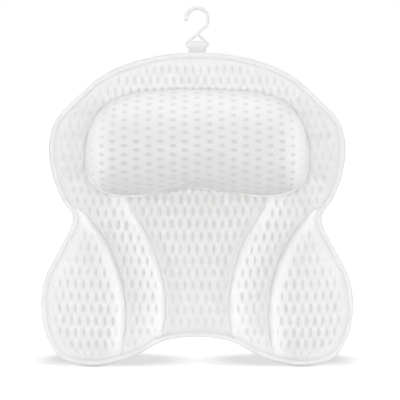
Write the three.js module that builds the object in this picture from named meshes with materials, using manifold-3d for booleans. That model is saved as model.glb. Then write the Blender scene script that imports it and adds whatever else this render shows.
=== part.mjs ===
// Bath pillow: a butterfly-shaped pad of spacer mesh with a headrest, six suction cups on its back
// and a swinging hook on a webbing loop at its top.
// Millimetres, +Z up. The tub wall is the plane y = 0, the pillow stands in front of it at y < 0,
// x = 0 is its mirror plane and z = 0 is the level of its lowest edge.
import * as THREE from "three";
import { mergeVertices } from "three/addons/utils/BufferGeometryUtils.js";
import Module from "manifold-3d";

const wasm = await Module();
wasm.setup();

// Overall sizes and clearances
const PILLOW_WIDTH = 380;
const PILLOW_HEIGHT = 381;
const FIT_GAP = 0.3;
const SEAM_GAP = 0.4;
const CUT_OVERRUN = 2;
const MERGE_DISTANCE = 1e-4;

// Cloth and tape thicknesses
const COVER_THICKNESS = 3;
const BACK_THICKNESS = 4;
const TAPE_THICKNESS = 1.6;
const BINDING_WIDTH = 6.6;
const BINDING_ROUND = 2;

// Heights of the pads and of their seams above the level where the cloth lies flat
const SEAT_RISE = 11;
const CENTRE_SEAM_RISE = 7.5;
const LEG_RISE = 17;
const LEG_INNER_SEAM_RISE = 12;
const LEG_OUTER_SEAM_RISE = 6;
const WING_RISE = 26;
const LEG_FALL_LENGTH = 45;
const LEG_FALL_MARGIN = 22;
const WING_SEAM_RISE = 15;
const EDGE_RISE = 3;
const SEAM_ROUND = 2;
const FILLING_PLAY = 0.7;

// Headrest
const HEADREST_WIDTH = 264;
const HEADREST_HEIGHT = 128;
const HEADREST_TOP_MARGIN = 46;
const HEADREST_CROWN = 62;
const HEADREST_TUCK = 5;
const WELT_WIDTH = 5.4;
const WELT_THICKNESS = 2;

// Suction cups and what holds them
const CUP_RADIUS = 27;
const CUP_LIP = 2.6;
const CUP_DOME = 11.5;
const CUP_WALL = 4;
const CUP_EDGE = 0.9;
const COLLAR_WIDTH = 3.8;
const COLLAR_LENGTH = 3.2;
const NECK_RADIUS = 4.2;
const NECK_CLEARANCE = 0.4;
const HEAD_OVERHANG = 3.3;
const HEAD_LENGTH = 3.2;
const EYELET_WALL = 1.6;
const EYELET_OVERLAP = 2.5;
const EYELET_FLANGE = 1.2;
const PATCH_MARGIN = 8;
const PATCH_THICKNESS = 1.2;
const ROUND_SEGMENTS = 16;

// Webbing loop and hook. Heights are above the top of the pillow.
const LOOP_WIDTH = 20.8;
const LOOP_TOP_WIDTH = 12.4;
const LOOP_TOP_TAPER = 6.3;
const WEBBING_THICKNESS = 1.4;
const LOOP_TAIL = 9;
const LOOP_SLACK = 4.9;
const LOOP_SIDE_CLEARANCE = 0.6;
const BAR_HEIGHT = 7.4;
const BAR_RADIUS = 1.6;
const BAR_CLEARANCE = 0.4;
const FRAME_CORNER = 2.6;
const FRAME_APEX_HEIGHT = 22.3;
const HOOK_BEND_RADIUS = 13.4;
const HOOK_BEND_HEIGHT = 39.7;
const HOOK_TIP_RADIUS = 2.4;
const HOOK_TIP_ANGLE = 180;
const HOOK_LEAVE_ANGLE = -50;
const HOOK_SIDES = 10;

// Levels, as distances from the tub wall
const CUP_HOLLOW = CUP_DOME - CUP_WALL;
const COLLAR_FACE = CUP_DOME + COLLAR_LENGTH;
const EYELET_REAR = COLLAR_FACE + FIT_GAP;
const PATCH_REAR = EYELET_REAR + EYELET_FLANGE + FIT_GAP;
const BACK_REAR = PATCH_REAR + PATCH_THICKNESS + FIT_GAP;
const BACK_FRONT = BACK_REAR + BACK_THICKNESS;
const PAD_BASE = BACK_FRONT + FIT_GAP;
const PAD_FACE = PAD_BASE + COVER_THICKNESS;
const WASHER_FRONT = PAD_BASE + EYELET_FLANGE;
const HEAD_REAR = WASHER_FRONT + FIT_GAP;
const HEAD_FRONT = HEAD_REAR + HEAD_LENGTH;
const SLOT_REAR = BACK_REAR - FIT_GAP;
const SLOT_FRONT = PAD_FACE + FIT_GAP;
const BINDING_MIDDLE = (SLOT_REAR + SLOT_FRONT) / 2;
const HEADREST_SEAT = PAD_FACE + SEAT_RISE + FIT_GAP;
const HEADREST_BASE = PILLOW_HEIGHT - HEADREST_TOP_MARGIN - HEADREST_HEIGHT;

// Round parts of the cups' mounts, from the neck outwards
const COLLAR_RADIUS = NECK_RADIUS + COLLAR_WIDTH;
const HEAD_RADIUS = NECK_RADIUS + HEAD_OVERHANG;
const EYELET_BORE = NECK_RADIUS + NECK_CLEARANCE;
const BARREL_RADIUS = EYELET_BORE + EYELET_WALL;
const MESH_HOLE_RADIUS = BARREL_RADIUS + FIT_GAP;
const EYELET_RADIUS = MESH_HOLE_RADIUS + EYELET_OVERLAP;
const PATCH_RADIUS = EYELET_RADIUS + PATCH_MARGIN;

// The right half of the outline from the bottom centre to the top centre: x as a share of half
// the width, z as a share of the height. The named rows are where seams meet the outline.
const OUTLINE_SHARES = [
  [0, 0.093], [0.218, 0.078], [0.347, 0.045], [0.479, 0.018], [0.674, 0], [0.868, 0.024],
  [0.968, 0.096], [1, 0.197], [0.971, 0.287], [0.878, 0.378], [0.795, 0.476], [0.866, 0.535],
  [0.921, 0.606], [0.943, 0.703], [0.905, 0.781], [0.786, 0.848],
  [0.604, 0.925], [0.364, 0.976], [0, 1],
];
const CENTRE_SEAM_ROW = 1;
const WING_SEAM_ROW = 3;
const WAIST_ROW = 10;
const TOP_ROW = OUTLINE_SHARES.length - 1;
const STEPS_PER_ROW = 2;

// The seam between the centre panel and a leg, from the binding up to where the headrest hides it
const CENTRE_SEAM_SHARES = [[0.201, 0.178], [0.221, 0.283], [0.295, 0.401], [0.429, 0.512]];
// The same seam under the headrest, up to the mirror plane
const HIDDEN_SEAM_SHARES = [[0.429, 0.512], [0.47, 0.583], [0.32, 0.668], [0, 0.703]];
// The seam between a leg and a wing, from the bottom edge to the waist
const WING_SEAM_SHARES = [[0.454, 0.15], [0.475, 0.264], [0.558, 0.384], [0.674, 0.469]];
// Spines, the lines along which the centre panel and the wings are fullest
const CENTRE_SPINE_SHARES = [[0, 0.21], [0, 0.58]];
const WING_SPINE_SHARES = [[0.68, 0.14], [0.64, 0.34]];
const SEAM_STEPS = 8;
const HIDDEN_STEPS = 6;

// The yoke's ridge: how much of the yoke's length is leg, how far its ends stay from the binding,
// and its place between the outer and the inner side, along the leg and at the top
const YOKE_LEG_SHARE = 0.4;
const YOKE_END_SHARE = 0.06;
const YOKE_RIDGE_SHARES = [0.62, 0.45];

// The right half of the headrest from its bottom centre to its top centre, as shares of half its
// width and of its height
const HEADREST_SHARES = [
  [0, 0.089], [0.375, 0.04], [0.65, 0], [0.858, 0.045], [0.965, 0.17], [1, 0.39],
  [0.955, 0.65], [0.81, 0.87], [0.58, 0.965], [0.285, 0.995], [0, 1],
];
const HEADREST_SPINE_SHARES = [[-0.58, 0.5], [0.58, 0.5]];
const HEADREST_STEPS_PER_ROW = 2;
// Its side wall, front to back: share of the tuck drawn in, and share of the crown's height
const HEADREST_WALL_SHARES = [[0.5, 0.5], [0, 0.32], [0.2, 0.16], [1, 0.05], [1, 0]];
// Its top, middle to edge: share of the way to its spine, and share of the crown's height
const HEADREST_TOP_SHARES = [[0.8, 1], [0.55, 0.965], [0.3, 0.87], [0.12, 0.7]];

// The hook's rounded corner where a slanting side meets its bottom bar, from above, in corner sizes
const CORNER_SHARES = [[0.42, 1.9], [0.08, 1.35], [0, 0.72], [0.25, 0.2], [0.8, 0]];
const HOOK_BEND_STEPS = 18;

// Centres of the suction cups on the right half
const CUP_SHARES = [[0.621, 0.722], [0.237, 0.512], [0.737, 0.197]];

// Rings of a pad's surface, as shares of the way from its shoulder to its spine, outside and in
const RING_SHARES = [0.25, 0.55, 0.82];
const INNER_RING_SHARES = [0.3, 0.7];
// Steepest climb of a seam along its length, as a share of that length
const CLIMB_SHARE = 0.3;
// Height of the wall at a pad's rim, as a share of its seam's height
const RIM_WALL_SHARE = 0.4;
// Two edges whose directions differ by less than this sine count as one smooth run
const SMOOTH_SINE_SHARE = 0.35;
// Furthest that an inset moves a sharp corner, as a share of the inset's distance
const MITRE_SHARE = 1.5;

const halfWidth = PILLOW_WIDTH / 2;
const toPillow = ([x, z]) => [x * halfWidth, z * PILLOW_HEIGHT];
const flip = ([x, z]) => [-x, z];
const lerp = THREE.MathUtils.lerp;
const mixPoints = (p, q, t) => [lerp(p[0], q[0], t), lerp(p[1], q[1], t)];
const roundOver = (t) => Math.sqrt(1 - (1 - t) ** 2);

// The point of a spine that lies nearest to p
function nearestOn([start, end], p) {
  const run = [end[0] - start[0], end[1] - start[1]];
  const lengthSquared = run[0] ** 2 + run[1] ** 2;
  const share = ((p[0] - start[0]) * run[0] + (p[1] - start[1]) * run[1]) / lengthSquared;
  return mixPoints(start, end, THREE.MathUtils.clamp(share, 0, 1));
}

// A smooth closed curve through points in the plane of the pillow, sampled between each two
function smoothLoop(points, steps) {
  const curve = new THREE.CatmullRomCurve3(
    points.map(([x, z]) => new THREE.Vector3(x, 0, z)),
    true,
  );
  const count = points.length * steps;
  return Array.from({ length: count }, (_, i) => {
    const p = curve.getPoint(i / count);
    return [p.x, p.z];
  });
}

// A smooth open curve through points, as a number of equal steps along its length
function smoothRun(points, steps) {
  const curve = new THREE.CatmullRomCurve3(points.map(([x, z]) => new THREE.Vector3(x, 0, z)));
  return curve.getSpacedPoints(steps).map((p) => [p.x, p.z]);
}

function mirrored(half) {
  return [...half, ...half.slice(1, -1).reverse().map(flip)];
}

// Joins runs of points into one closed perimeter. Each edge keeps the kind of its run, and each
// point its place between the run's two stations.
function perimeter(...runs) {
  const points = [];
  const kinds = [];
  const stations = [];
  for (const { run, kind, from = 0, to = 0 } of runs) {
    const steps = run.length - 1;
    for (let i = 0; i < steps; i++) {
      points.push(run[i]);
      kinds.push(kind);
      stations.push(lerp(from, to, i / steps));
    }
  }
  return { points, kinds, stations };
}

function mirroredPerimeter({ points, kinds }) {
  return {
    points: points.map(flip).reverse(),
    kinds: [...kinds.slice(0, -1).reverse(), kinds.at(-1)],
  };
}

// Moves each edge of a closed counter-clockwise loop inwards by its own distance, and rounds off
// sharp corners
function inset({ points, kinds }, distanceOf) {
  const count = points.length;
  const normals = points.map((p, i) => {
    const q = points[(i + 1) % count];
    const length = Math.hypot(q[0] - p[0], q[1] - p[1]);
    return [-(q[1] - p[1]) / length, (q[0] - p[0]) / length];
  });
  return points.map((p, i) => {
    const before = (i + count - 1) % count;
    const [a, b] = [normals[before], normals[i]];
    const [da, db] = [distanceOf(kinds[before]), distanceOf(kinds[i])];
    const cross = a[0] * b[1] - a[1] * b[0];
    if (Math.abs(cross) > SMOOTH_SINE_SHARE) {
      const x = (da * b[1] - db * a[1]) / cross;
      const z = (a[0] * db - b[0] * da) / cross;
      const most = da > 0 && db > 0 ? Math.max(da, db) * MITRE_SHARE : Infinity;
      const kept = Math.min(1, most / Math.hypot(x, z));
      return [p[0] + x * kept, p[1] + z * kept];
    }
    const sum = [a[0] + b[0], a[1] + b[1]];
    const scale = (da + db) / (sum[0] * sum[0] + sum[1] * sum[1]);
    return [p[0] + sum[0] * scale, p[1] + sum[1] * scale];
  });
}

// A loop of points in the plane of the pillow, each moved off the wall by its own distance
const lift = (loop, distanceOf) => loop.map(([x, z], i) => [x, -distanceOf(i, z), z]);

// A closed surface through loops with equal point counts, from the front cap to the last one
function stack(loops, wraps = false) {
  const count = loops[0].length;
  const vertices = loops.flat().flat();
  const faces = [];
  const bands = wraps ? loops.length : loops.length - 1;
  for (let k = 0; k < bands; k++) {
    const next = ((k + 1) % loops.length) * count;
    for (let i = 0; i < count; i++) {
      const j = (i + 1) % count;
      const [a, b, c, d] = [k * count + i, k * count + j, next + j, next + i];
      faces.push(a, d, c, a, c, b);
    }
  }
  if (!wraps) {
    addCap(faces, loops[0], 0, true);
    addCap(faces, loops.at(-1), (loops.length - 1) * count, false);
  }
  const geometry = new THREE.BufferGeometry();
  geometry.setAttribute("position", new THREE.Float32BufferAttribute(vertices, 3));
  geometry.setIndex(faces);
  return geometry;
}

function addCap(faces, loop, start, facesFront) {
  const flat = loop.map(([x, , z]) => new THREE.Vector2(x, z));
  for (const [i, j, k] of THREE.ShapeUtils.triangulateShape(flat, [])) {
    const area = flat[j].clone().sub(flat[i]).cross(flat[k].clone().sub(flat[i]));
    const forward = area > 0 === facesFront;
    faces.push(start + i, start + (forward ? j : k), start + (forward ? k : j));
  }
}

// A round piece turned about the axis of a suction cup, from pairs of radius and wall distance
// that run from the wall outwards along the outside of the piece
function turned(profile) {
  const points = profile.map(([radius, depth]) => new THREE.Vector2(radius, -depth)).reverse();
  return new THREE.LatheGeometry(points, ROUND_SEGMENTS);
}

const closedProfile = (profile) => [...profile, profile[0]];

function toManifold(geometry) {
  const bare = new THREE.BufferGeometry();
  bare.setAttribute("position", geometry.getAttribute("position"));
  if (geometry.index) bare.setIndex(geometry.index);
  const merged = mergeVertices(bare, MERGE_DISTANCE);
  const kept = [];
  for (let i = 0; i < merged.index.count; i += 3) {
    const [a, b, c] = [0, 1, 2].map((k) => merged.index.getX(i + k));
    if (a !== b && b !== c && c !== a) kept.push(a, b, c);
  }
  return new wasm.Manifold(
    new wasm.Mesh({
      numProp: 3,
      vertProperties: new Float32Array(merged.attributes.position.array),
      triVerts: new Uint32Array(kept),
    }),
  );
}

function fromManifold(solid) {
  const { vertProperties, triVerts, numProp } = solid.getMesh();
  const vertices = [];
  for (let i = 0; i < vertProperties.length; i += numProp)
    vertices.push(...vertProperties.subarray(i, i + 3));
  const geometry = new THREE.BufferGeometry();
  geometry.setAttribute("position", new THREE.Float32BufferAttribute(vertices, 3));
  geometry.setIndex([...triVerts]);
  return geometry;
}

function joined(first, ...others) {
  return fromManifold(others.reduce((sum, g) => sum.add(toManifold(g)), toManifold(first)));
}

function cut(body, ...tools) {
  return fromManifold(tools.reduce((left, g) => left.subtract(toManifold(g)), toManifold(body)));
}

function common(first, second) {
  return fromManifold(toManifold(first).intersect(toManifold(second)));
}

// A block between two corners, each given as x, distance from the wall, and z
function block(low, high) {
  const size = high.map((v, i) => v - low[i]);
  const middle = high.map((v, i) => (v + low[i]) / 2);
  return new THREE.BoxGeometry(...size).translate(middle[0], -middle[1], middle[2]);
}

// The outline, and the line inside the binding where the pads start
const outline = smoothLoop(mirrored(OUTLINE_SHARES.map(toPillow)), STEPS_PER_ROW);
const wholePad = { points: outline, kinds: outline.map(() => "bound") };
const padLine = inset(wholePad, () => BINDING_WIDTH + SEAM_GAP);
const rightIndex = (row) => row * STEPS_PER_ROW;
const leftIndex = (row) => outline.length - rightIndex(row);
function along(from, to) {
  const steps = (to - from + padLine.length) % padLine.length;
  return Array.from({ length: steps + 1 }, (_, i) => padLine[(from + i) % padLine.length]);
}

// Seams on the right half. Their ends lie on that line.
const centreSeamFoot = padLine[rightIndex(CENTRE_SEAM_ROW)];
const wingSeamFoot = padLine[rightIndex(WING_SEAM_ROW)];
const wingSeamHead = padLine[rightIndex(WAIST_ROW)];
const centreSeam = smoothRun([centreSeamFoot, ...CENTRE_SEAM_SHARES.map(toPillow)], SEAM_STEPS);
const hiddenSeam = smoothRun(HIDDEN_SEAM_SHARES.map(toPillow), HIDDEN_STEPS);
const wingSeam = smoothRun(
  [wingSeamFoot, ...WING_SEAM_SHARES.map(toPillow), wingSeamHead],
  SEAM_STEPS,
);
const reversed = (run) => [...run].reverse();
const flipped = (run) => run.map(flip);

// Perimeters of the front panels. An edge of kind bound goes on into the binding.
const centreEdges = perimeter(
  { run: centreSeam, kind: "seam" },
  { run: hiddenSeam, kind: "hidden" },
  { run: reversed(flipped(hiddenSeam)), kind: "hidden" },
  { run: reversed(flipped(centreSeam)), kind: "seam" },
  { run: along(leftIndex(CENTRE_SEAM_ROW), rightIndex(CENTRE_SEAM_ROW)), kind: "bound" },
);
const rightWingEdges = perimeter(
  { run: along(rightIndex(WING_SEAM_ROW), rightIndex(WAIST_ROW)), kind: "bound" },
  { run: reversed(wingSeam), kind: "seam" },
);

// The yoke's stations run from 0 at the foot of its right leg, past 1 at the top, to 2
const rightFoot = { from: 0, to: 0 };
const leftFoot = { from: 2, to: 2 };
const rightLeg = YOKE_LEG_SHARE;
const leftLeg = 2 - YOKE_LEG_SHARE;
const yokeEdges = perimeter(
  { run: along(rightIndex(CENTRE_SEAM_ROW), rightIndex(WING_SEAM_ROW)), kind: "bound", ...rightFoot },
  { run: wingSeam, kind: "outer", from: 0, to: rightLeg },
  { run: along(rightIndex(WAIST_ROW), leftIndex(WAIST_ROW)), kind: "bound", from: rightLeg, to: leftLeg },
  { run: reversed(flipped(wingSeam)), kind: "outer", from: leftLeg, to: 2 },
  { run: along(leftIndex(WING_SEAM_ROW), leftIndex(CENTRE_SEAM_ROW)), kind: "bound", ...leftFoot },
  { run: flipped(centreSeam), kind: "inner", from: 2, to: leftLeg },
  { run: flipped(hiddenSeam), kind: "hidden", from: leftLeg, to: 1 },
  { run: reversed(hiddenSeam), kind: "hidden", from: 1, to: rightLeg },
  { run: reversed(centreSeam), kind: "inner", from: rightLeg, to: 0 },
);

// A point of the yoke's ridge at a station, between its outer and its inner side
const rightTop = along(rightIndex(WAIST_ROW), rightIndex(TOP_ROW));
function pointAt(run, share) {
  const place = share * (run.length - 1);
  const i = Math.min(Math.floor(place), run.length - 2);
  return mixPoints(run[i], run[i + 1], place - i);
}
function yokeRidge(station) {
  const t = Math.max(Math.min(station, 2 - station), YOKE_END_SHARE);
  const onLeg = Math.min(t / YOKE_LEG_SHARE, 1);
  const onTop = Math.max(t - YOKE_LEG_SHARE, 0) / (1 - YOKE_LEG_SHARE);
  const outer = onTop > 0 ? pointAt(rightTop, onTop) : pointAt(wingSeam, onLeg);
  const inner = onTop > 0 ? pointAt(hiddenSeam, onTop) : pointAt(centreSeam, onLeg);
  const ridge = mixPoints(outer, inner, lerp(...YOKE_RIDGE_SHARES, onTop));
  return station > 1 ? flip(ridge) : ridge;
}

// The yoke's legs are fuller than its top, and fall to the top's height before the headrest starts
function yokeCrown(z) {
  const high = HEADREST_BASE - LEG_FALL_MARGIN;
  return lerp(LEG_RISE, SEAT_RISE, THREE.MathUtils.smoothstep(z, high - LEG_FALL_LENGTH, high));
}

const wingSpine = WING_SPINE_SHARES.map(toPillow);
function wingPad(edges, spine) {
  return {
    edges,
    middles: edges.points.map((p) => nearestOn(spine, p)),
    seamRises: { seam: WING_SEAM_RISE, bound: EDGE_RISE },
    crown: () => WING_RISE,
  };
}

const pads = {
  centre: {
    edges: centreEdges,
    middles: centreEdges.points.map((p) => nearestOn(CENTRE_SPINE_SHARES.map(toPillow), p)),
    seamRises: { seam: CENTRE_SEAM_RISE, hidden: SEAT_RISE, bound: EDGE_RISE },
    crown: () => SEAT_RISE,
  },
  yoke: {
    edges: yokeEdges,
    middles: yokeEdges.stations.map(yokeRidge),
    seamRises: {
      inner: LEG_INNER_SEAM_RISE,
      outer: LEG_OUTER_SEAM_RISE,
      hidden: SEAT_RISE,
      bound: EDGE_RISE,
    },
    crown: yokeCrown,
  },
  right_wing: wingPad(rightWingEdges, wingSpine),
  left_wing: wingPad(mirroredPerimeter(rightWingEdges), flipped(wingSpine)),
};

// How high a pad's shoulder is at each point of its perimeter: the lower of the two edges that
// meet there, never above the pad's crown, and climbing away from the low points at a slope
function shoulderRises({ edges, seamRises, crown }) {
  const { points, kinds } = edges;
  const heights = points.map(([, z], i) => {
    const before = kinds[(i + kinds.length - 1) % kinds.length];
    return Math.min(seamRises[kinds[i]], seamRises[before], crown(z));
  });
  return points.map(([x, z]) => {
    const climbs = points.map(([px, pz], k) => heights[k] + Math.hypot(px - x, pz - z) * CLIMB_SHARE);
    return Math.min(...climbs);
  });
}

// The loops of a pad's domed surface, from its middle to its rim, at a depth below the outside of
// the cover, which is also how far its walls stand inside the cover's
function domeLoops(pad, depth, shares) {
  const rises = shoulderRises(pad);
  const wall = SEAM_GAP / 2 + depth;
  const rim = inset(pad.edges, () => wall);
  const shoulder = inset(pad.edges, () => wall + SEAM_ROUND);
  const level = (height, least) => PAD_BASE + Math.max(COVER_THICKNESS + height - depth, least);
  const rings = shares.map((share) =>
    lift(
      shoulder.map((p, i) => mixPoints(p, pad.middles[i], share)),
      (i, z) => level(lerp(rises[i], pad.crown(z), roundOver(share)), FIT_GAP),
    ),
  );
  return [
    ...reversed(rings),
    lift(shoulder, (i) => level(rises[i], 2 * FIT_GAP)),
    lift(rim, (i) => level(rises[i] * RIM_WALL_SHARE, FIT_GAP)),
    lift(rim, () => PAD_BASE),
  ];
}

// A cover: a shell open at the back, whose bound edges run flat into the binding
function coverGeometry(pad) {
  const dome = domeLoops(pad, 0, RING_SHARES).slice(0, -1);
  const reach = TAPE_THICKNESS + FIT_GAP - BINDING_WIDTH - SEAM_GAP;
  const rim = inset(pad.edges, () => SEAM_GAP / 2);
  const hem = inset(pad.edges, (kind) => (kind === "bound" ? reach : SEAM_GAP / 2));
  const hemLoops = [lift(rim, () => PAD_FACE), lift(hem, () => PAD_FACE), lift(hem, () => PAD_BASE)];
  const hollow = domeLoops(pad, COVER_THICKNESS, INNER_RING_SHARES);
  const below = hollow.at(-1).map(([x, y, z]) => [x, y + CUT_OVERRUN, z]);
  return cut(stack([...dome, ...hemLoops]), stack([...hollow.slice(0, -1), below]));
}

function fillingGeometry(pad) {
  return stack(domeLoops(pad, COVER_THICKNESS + FILLING_PLAY, INNER_RING_SHARES));
}

// A pocket for each suction cup's head, and a slot for the tail of the webbing loop
const cupPlaces = CUP_SHARES.map(toPillow).flatMap(([x, z]) => [[x, z], [-x, z]]);
function headPocket([x, z]) {
  const radius = Math.max(EYELET_RADIUS, HEAD_RADIUS) + 2 * FIT_GAP;
  const rear = PAD_BASE - CUT_OVERRUN;
  const front = HEAD_FRONT + 2 * FIT_GAP;
  return turned([[0, rear], [radius, rear], [radius, front], [0, front]]).translate(x, 0, z);
}
function tailSlot() {
  const half = LOOP_WIDTH / 2 + FIT_GAP;
  const ply = WEBBING_THICKNESS + FIT_GAP;
  return block(
    [-half, BINDING_MIDDLE - ply, PILLOW_HEIGHT - LOOP_TAIL - FIT_GAP],
    [half, BINDING_MIDDLE + ply, PILLOW_HEIGHT + CUT_OVERRUN],
  );
}

function backGeometry() {
  const loop = inset(wholePad, () => TAPE_THICKNESS + FIT_GAP);
  const shape = new THREE.Shape(loop.map(([x, z]) => new THREE.Vector2(x, z)));
  for (const [x, z] of cupPlaces) {
    const hole = new THREE.Path();
    hole.absarc(x, z, MESH_HOLE_RADIUS, 0, Math.PI * 2);
    shape.holes.push(hole);
  }
  const sheet = new THREE.ExtrudeGeometry(shape, {
    depth: BACK_THICKNESS,
    bevelEnabled: false,
    curveSegments: ROUND_SEGMENTS / 2,
  });
  sheet.rotateX(Math.PI / 2).translate(0, -BACK_REAR, 0);
  return cut(sheet, tailSlot());
}

// A folded tape round the whole outline, with a slot that takes the back and the panels' edges
function bindingGeometry() {
  const at = (distance, level) => lift(inset(wholePad, () => distance), () => level);
  const rear = SLOT_REAR - TAPE_THICKNESS;
  const front = SLOT_FRONT + TAPE_THICKNESS;
  const ring = stack(
    [
      at(BINDING_WIDTH, front),
      at(BINDING_ROUND, front),
      at(0, front - BINDING_ROUND),
      at(0, rear + BINDING_ROUND),
      at(BINDING_ROUND, rear),
      at(BINDING_WIDTH, rear),
      at(BINDING_WIDTH, SLOT_REAR),
      at(TAPE_THICKNESS, SLOT_REAR),
      at(TAPE_THICKNESS, SLOT_FRONT),
      at(BINDING_WIDTH, SLOT_FRONT),
    ],
    true,
  );
  return cut(ring, tailSlot());
}

// Headrest: a crowned cushion whose sides draw in to a narrower foot
const toHeadrest = ([x, z]) => [(x * HEADREST_WIDTH) / 2, HEADREST_BASE + z * HEADREST_HEIGHT];
const headrestPoints = smoothLoop(mirrored(HEADREST_SHARES.map(toHeadrest)), HEADREST_STEPS_PER_ROW);
const headrest = { points: headrestPoints, kinds: headrestPoints.map(() => "seam") };
const headrestSpine = HEADREST_SPINE_SHARES.map(toHeadrest);

// The loops of the headrest's surface at a depth below the outside of its cover
function headrestLoops(depth) {
  const ringAt = (distance) => inset(headrest, () => distance + depth);
  const level = (share) => HEADREST_SEAT + share * HEADREST_CROWN;
  const tops = HEADREST_TOP_SHARES.map(([share, height]) => {
    const ring = ringAt(HEADREST_TUCK / 2).map((p) =>
      mixPoints(p, nearestOn(headrestSpine, p), share),
    );
    return lift(ring, () => level(height) - depth);
  });
  const walls = HEADREST_WALL_SHARES.map(([tuck, height]) =>
    lift(ringAt(tuck * HEADREST_TUCK), () => level(height)),
  );
  return [...tops, ...walls];
}

function headrestCoverGeometry() {
  return stack([...headrestLoops(0), ...reversed(headrestLoops(COVER_THICKNESS))]);
}

function headrestCoreGeometry() {
  return stack(headrestLoops(COVER_THICKNESS + FILLING_PLAY));
}

function weltGeometry() {
  const inner = inset(headrest, () => HEADREST_TUCK - FIT_GAP);
  const outer = inset(headrest, () => HEADREST_TUCK - FIT_GAP - WELT_WIDTH);
  const rear = () => HEADREST_SEAT;
  const front = () => HEADREST_SEAT + WELT_THICKNESS;
  return stack([lift(inner, front), lift(outer, front), lift(outer, rear), lift(inner, rear)], true);
}

// Suction cup: thin lip and dome, a collar that stops at the eyelet, a neck through it and a head
// that holds it from inside
const CUP_HOLLOW_SHARES = [[0, 1], [0.45, 0.87], [0.76, 0.42]];
const CUP_DOME_SHARES = [[0.82, 0.45], [0.54, 0.85]];
function cupGeometry() {
  const hollow = CUP_HOLLOW_SHARES.map(([r, h]) => [r * CUP_RADIUS, h * CUP_HOLLOW]);
  const dome = CUP_DOME_SHARES.map(([r, h]) => [r * CUP_RADIUS, h * CUP_DOME]);
  return turned([
    ...hollow,
    [CUP_RADIUS - CUP_LIP, 0],
    [CUP_RADIUS, 0],
    [CUP_RADIUS, CUP_EDGE],
    ...dome,
    [COLLAR_RADIUS, CUP_DOME],
    [COLLAR_RADIUS, COLLAR_FACE],
    [NECK_RADIUS, COLLAR_FACE],
    [NECK_RADIUS, HEAD_REAR],
    [HEAD_RADIUS, HEAD_REAR],
    [NECK_RADIUS, HEAD_FRONT],
    [0, HEAD_FRONT],
  ]);
}

function patchGeometry() {
  return turned(
    closedProfile([
      [MESH_HOLE_RADIUS, PATCH_REAR],
      [PATCH_RADIUS, PATCH_REAR],
      [PATCH_RADIUS, PATCH_REAR + PATCH_THICKNESS],
      [MESH_HOLE_RADIUS, PATCH_REAR + PATCH_THICKNESS],
    ]),
  );
}

function eyeletGeometry() {
  return turned(
    closedProfile([
      [EYELET_BORE, EYELET_REAR],
      [EYELET_RADIUS, EYELET_REAR],
      [EYELET_RADIUS, EYELET_REAR + EYELET_FLANGE],
      [BARREL_RADIUS, EYELET_REAR + EYELET_FLANGE],
      [BARREL_RADIUS, WASHER_FRONT],
      [EYELET_BORE, WASHER_FRONT],
    ]),
  );
}

function washerGeometry() {
  return turned(
    closedProfile([
      [MESH_HOLE_RADIUS, PAD_BASE],
      [EYELET_RADIUS, PAD_BASE],
      [EYELET_RADIUS, WASHER_FRONT],
      [MESH_HOLE_RADIUS, WASHER_FRONT],
    ]),
  );
}

// Webbing loop: one strap folded over the hook's bar, with both plies running down into the pad.
// Its origin is on the bar's axis. The section is drawn across the strap, with y forward.
function webbingGeometry() {
  const bore = BAR_RADIUS + BAR_CLEARANCE;
  const outer = bore + WEBBING_THICKNESS;
  const top = LOOP_SLACK - bore;
  const neck = -outer - WEBBING_THICKNESS;
  const foot = -BAR_HEIGHT - LOOP_TAIL;
  const section = new THREE.Shape();
  section.moveTo(-WEBBING_THICKNESS, foot);
  section.lineTo(WEBBING_THICKNESS, foot);
  section.lineTo(WEBBING_THICKNESS, neck);
  section.lineTo(outer, 0);
  section.absarc(0, top, outer, 0, Math.PI);
  section.lineTo(-outer, 0);
  section.lineTo(-WEBBING_THICKNESS, neck);
  section.closePath();
  const eye = new THREE.Path();
  eye.moveTo(0, -outer);
  eye.lineTo(-bore, 0);
  eye.absarc(0, top, bore, Math.PI, 0, true);
  eye.lineTo(bore, 0);
  eye.closePath();
  section.holes.push(eye);
  const strap = new THREE.ExtrudeGeometry(section, {
    depth: LOOP_WIDTH,
    bevelEnabled: false,
    curveSegments: ROUND_SEGMENTS / 2,
  });
  const across = new THREE.Matrix4().makeBasis(
    new THREE.Vector3(0, 1, 0),
    new THREE.Vector3(0, 0, 1),
    new THREE.Vector3(1, 0, 0),
  );
  strap.translate(0, 0, -LOOP_WIDTH / 2).applyMatrix4(across);

  // Seen from the front, the top of the loop is drawn together inside the hook's triangle
  const crest = top + outer;
  const front = new THREE.Shape();
  front.moveTo(-LOOP_WIDTH / 2, foot);
  front.lineTo(LOOP_WIDTH / 2, foot);
  front.lineTo(LOOP_WIDTH / 2, crest - LOOP_TOP_TAPER);
  front.lineTo(LOOP_TOP_WIDTH / 2, crest);
  front.lineTo(-LOOP_TOP_WIDTH / 2, crest);
  front.lineTo(-LOOP_WIDTH / 2, crest - LOOP_TOP_TAPER);
  const prism = new THREE.ExtrudeGeometry(front, { depth: 2 * outer + CUT_OVERRUN, bevelEnabled: false });
  prism.rotateX(Math.PI / 2).translate(0, outer + CUT_OVERRUN / 2, 0);
  return common(strap, prism);
}

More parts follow.
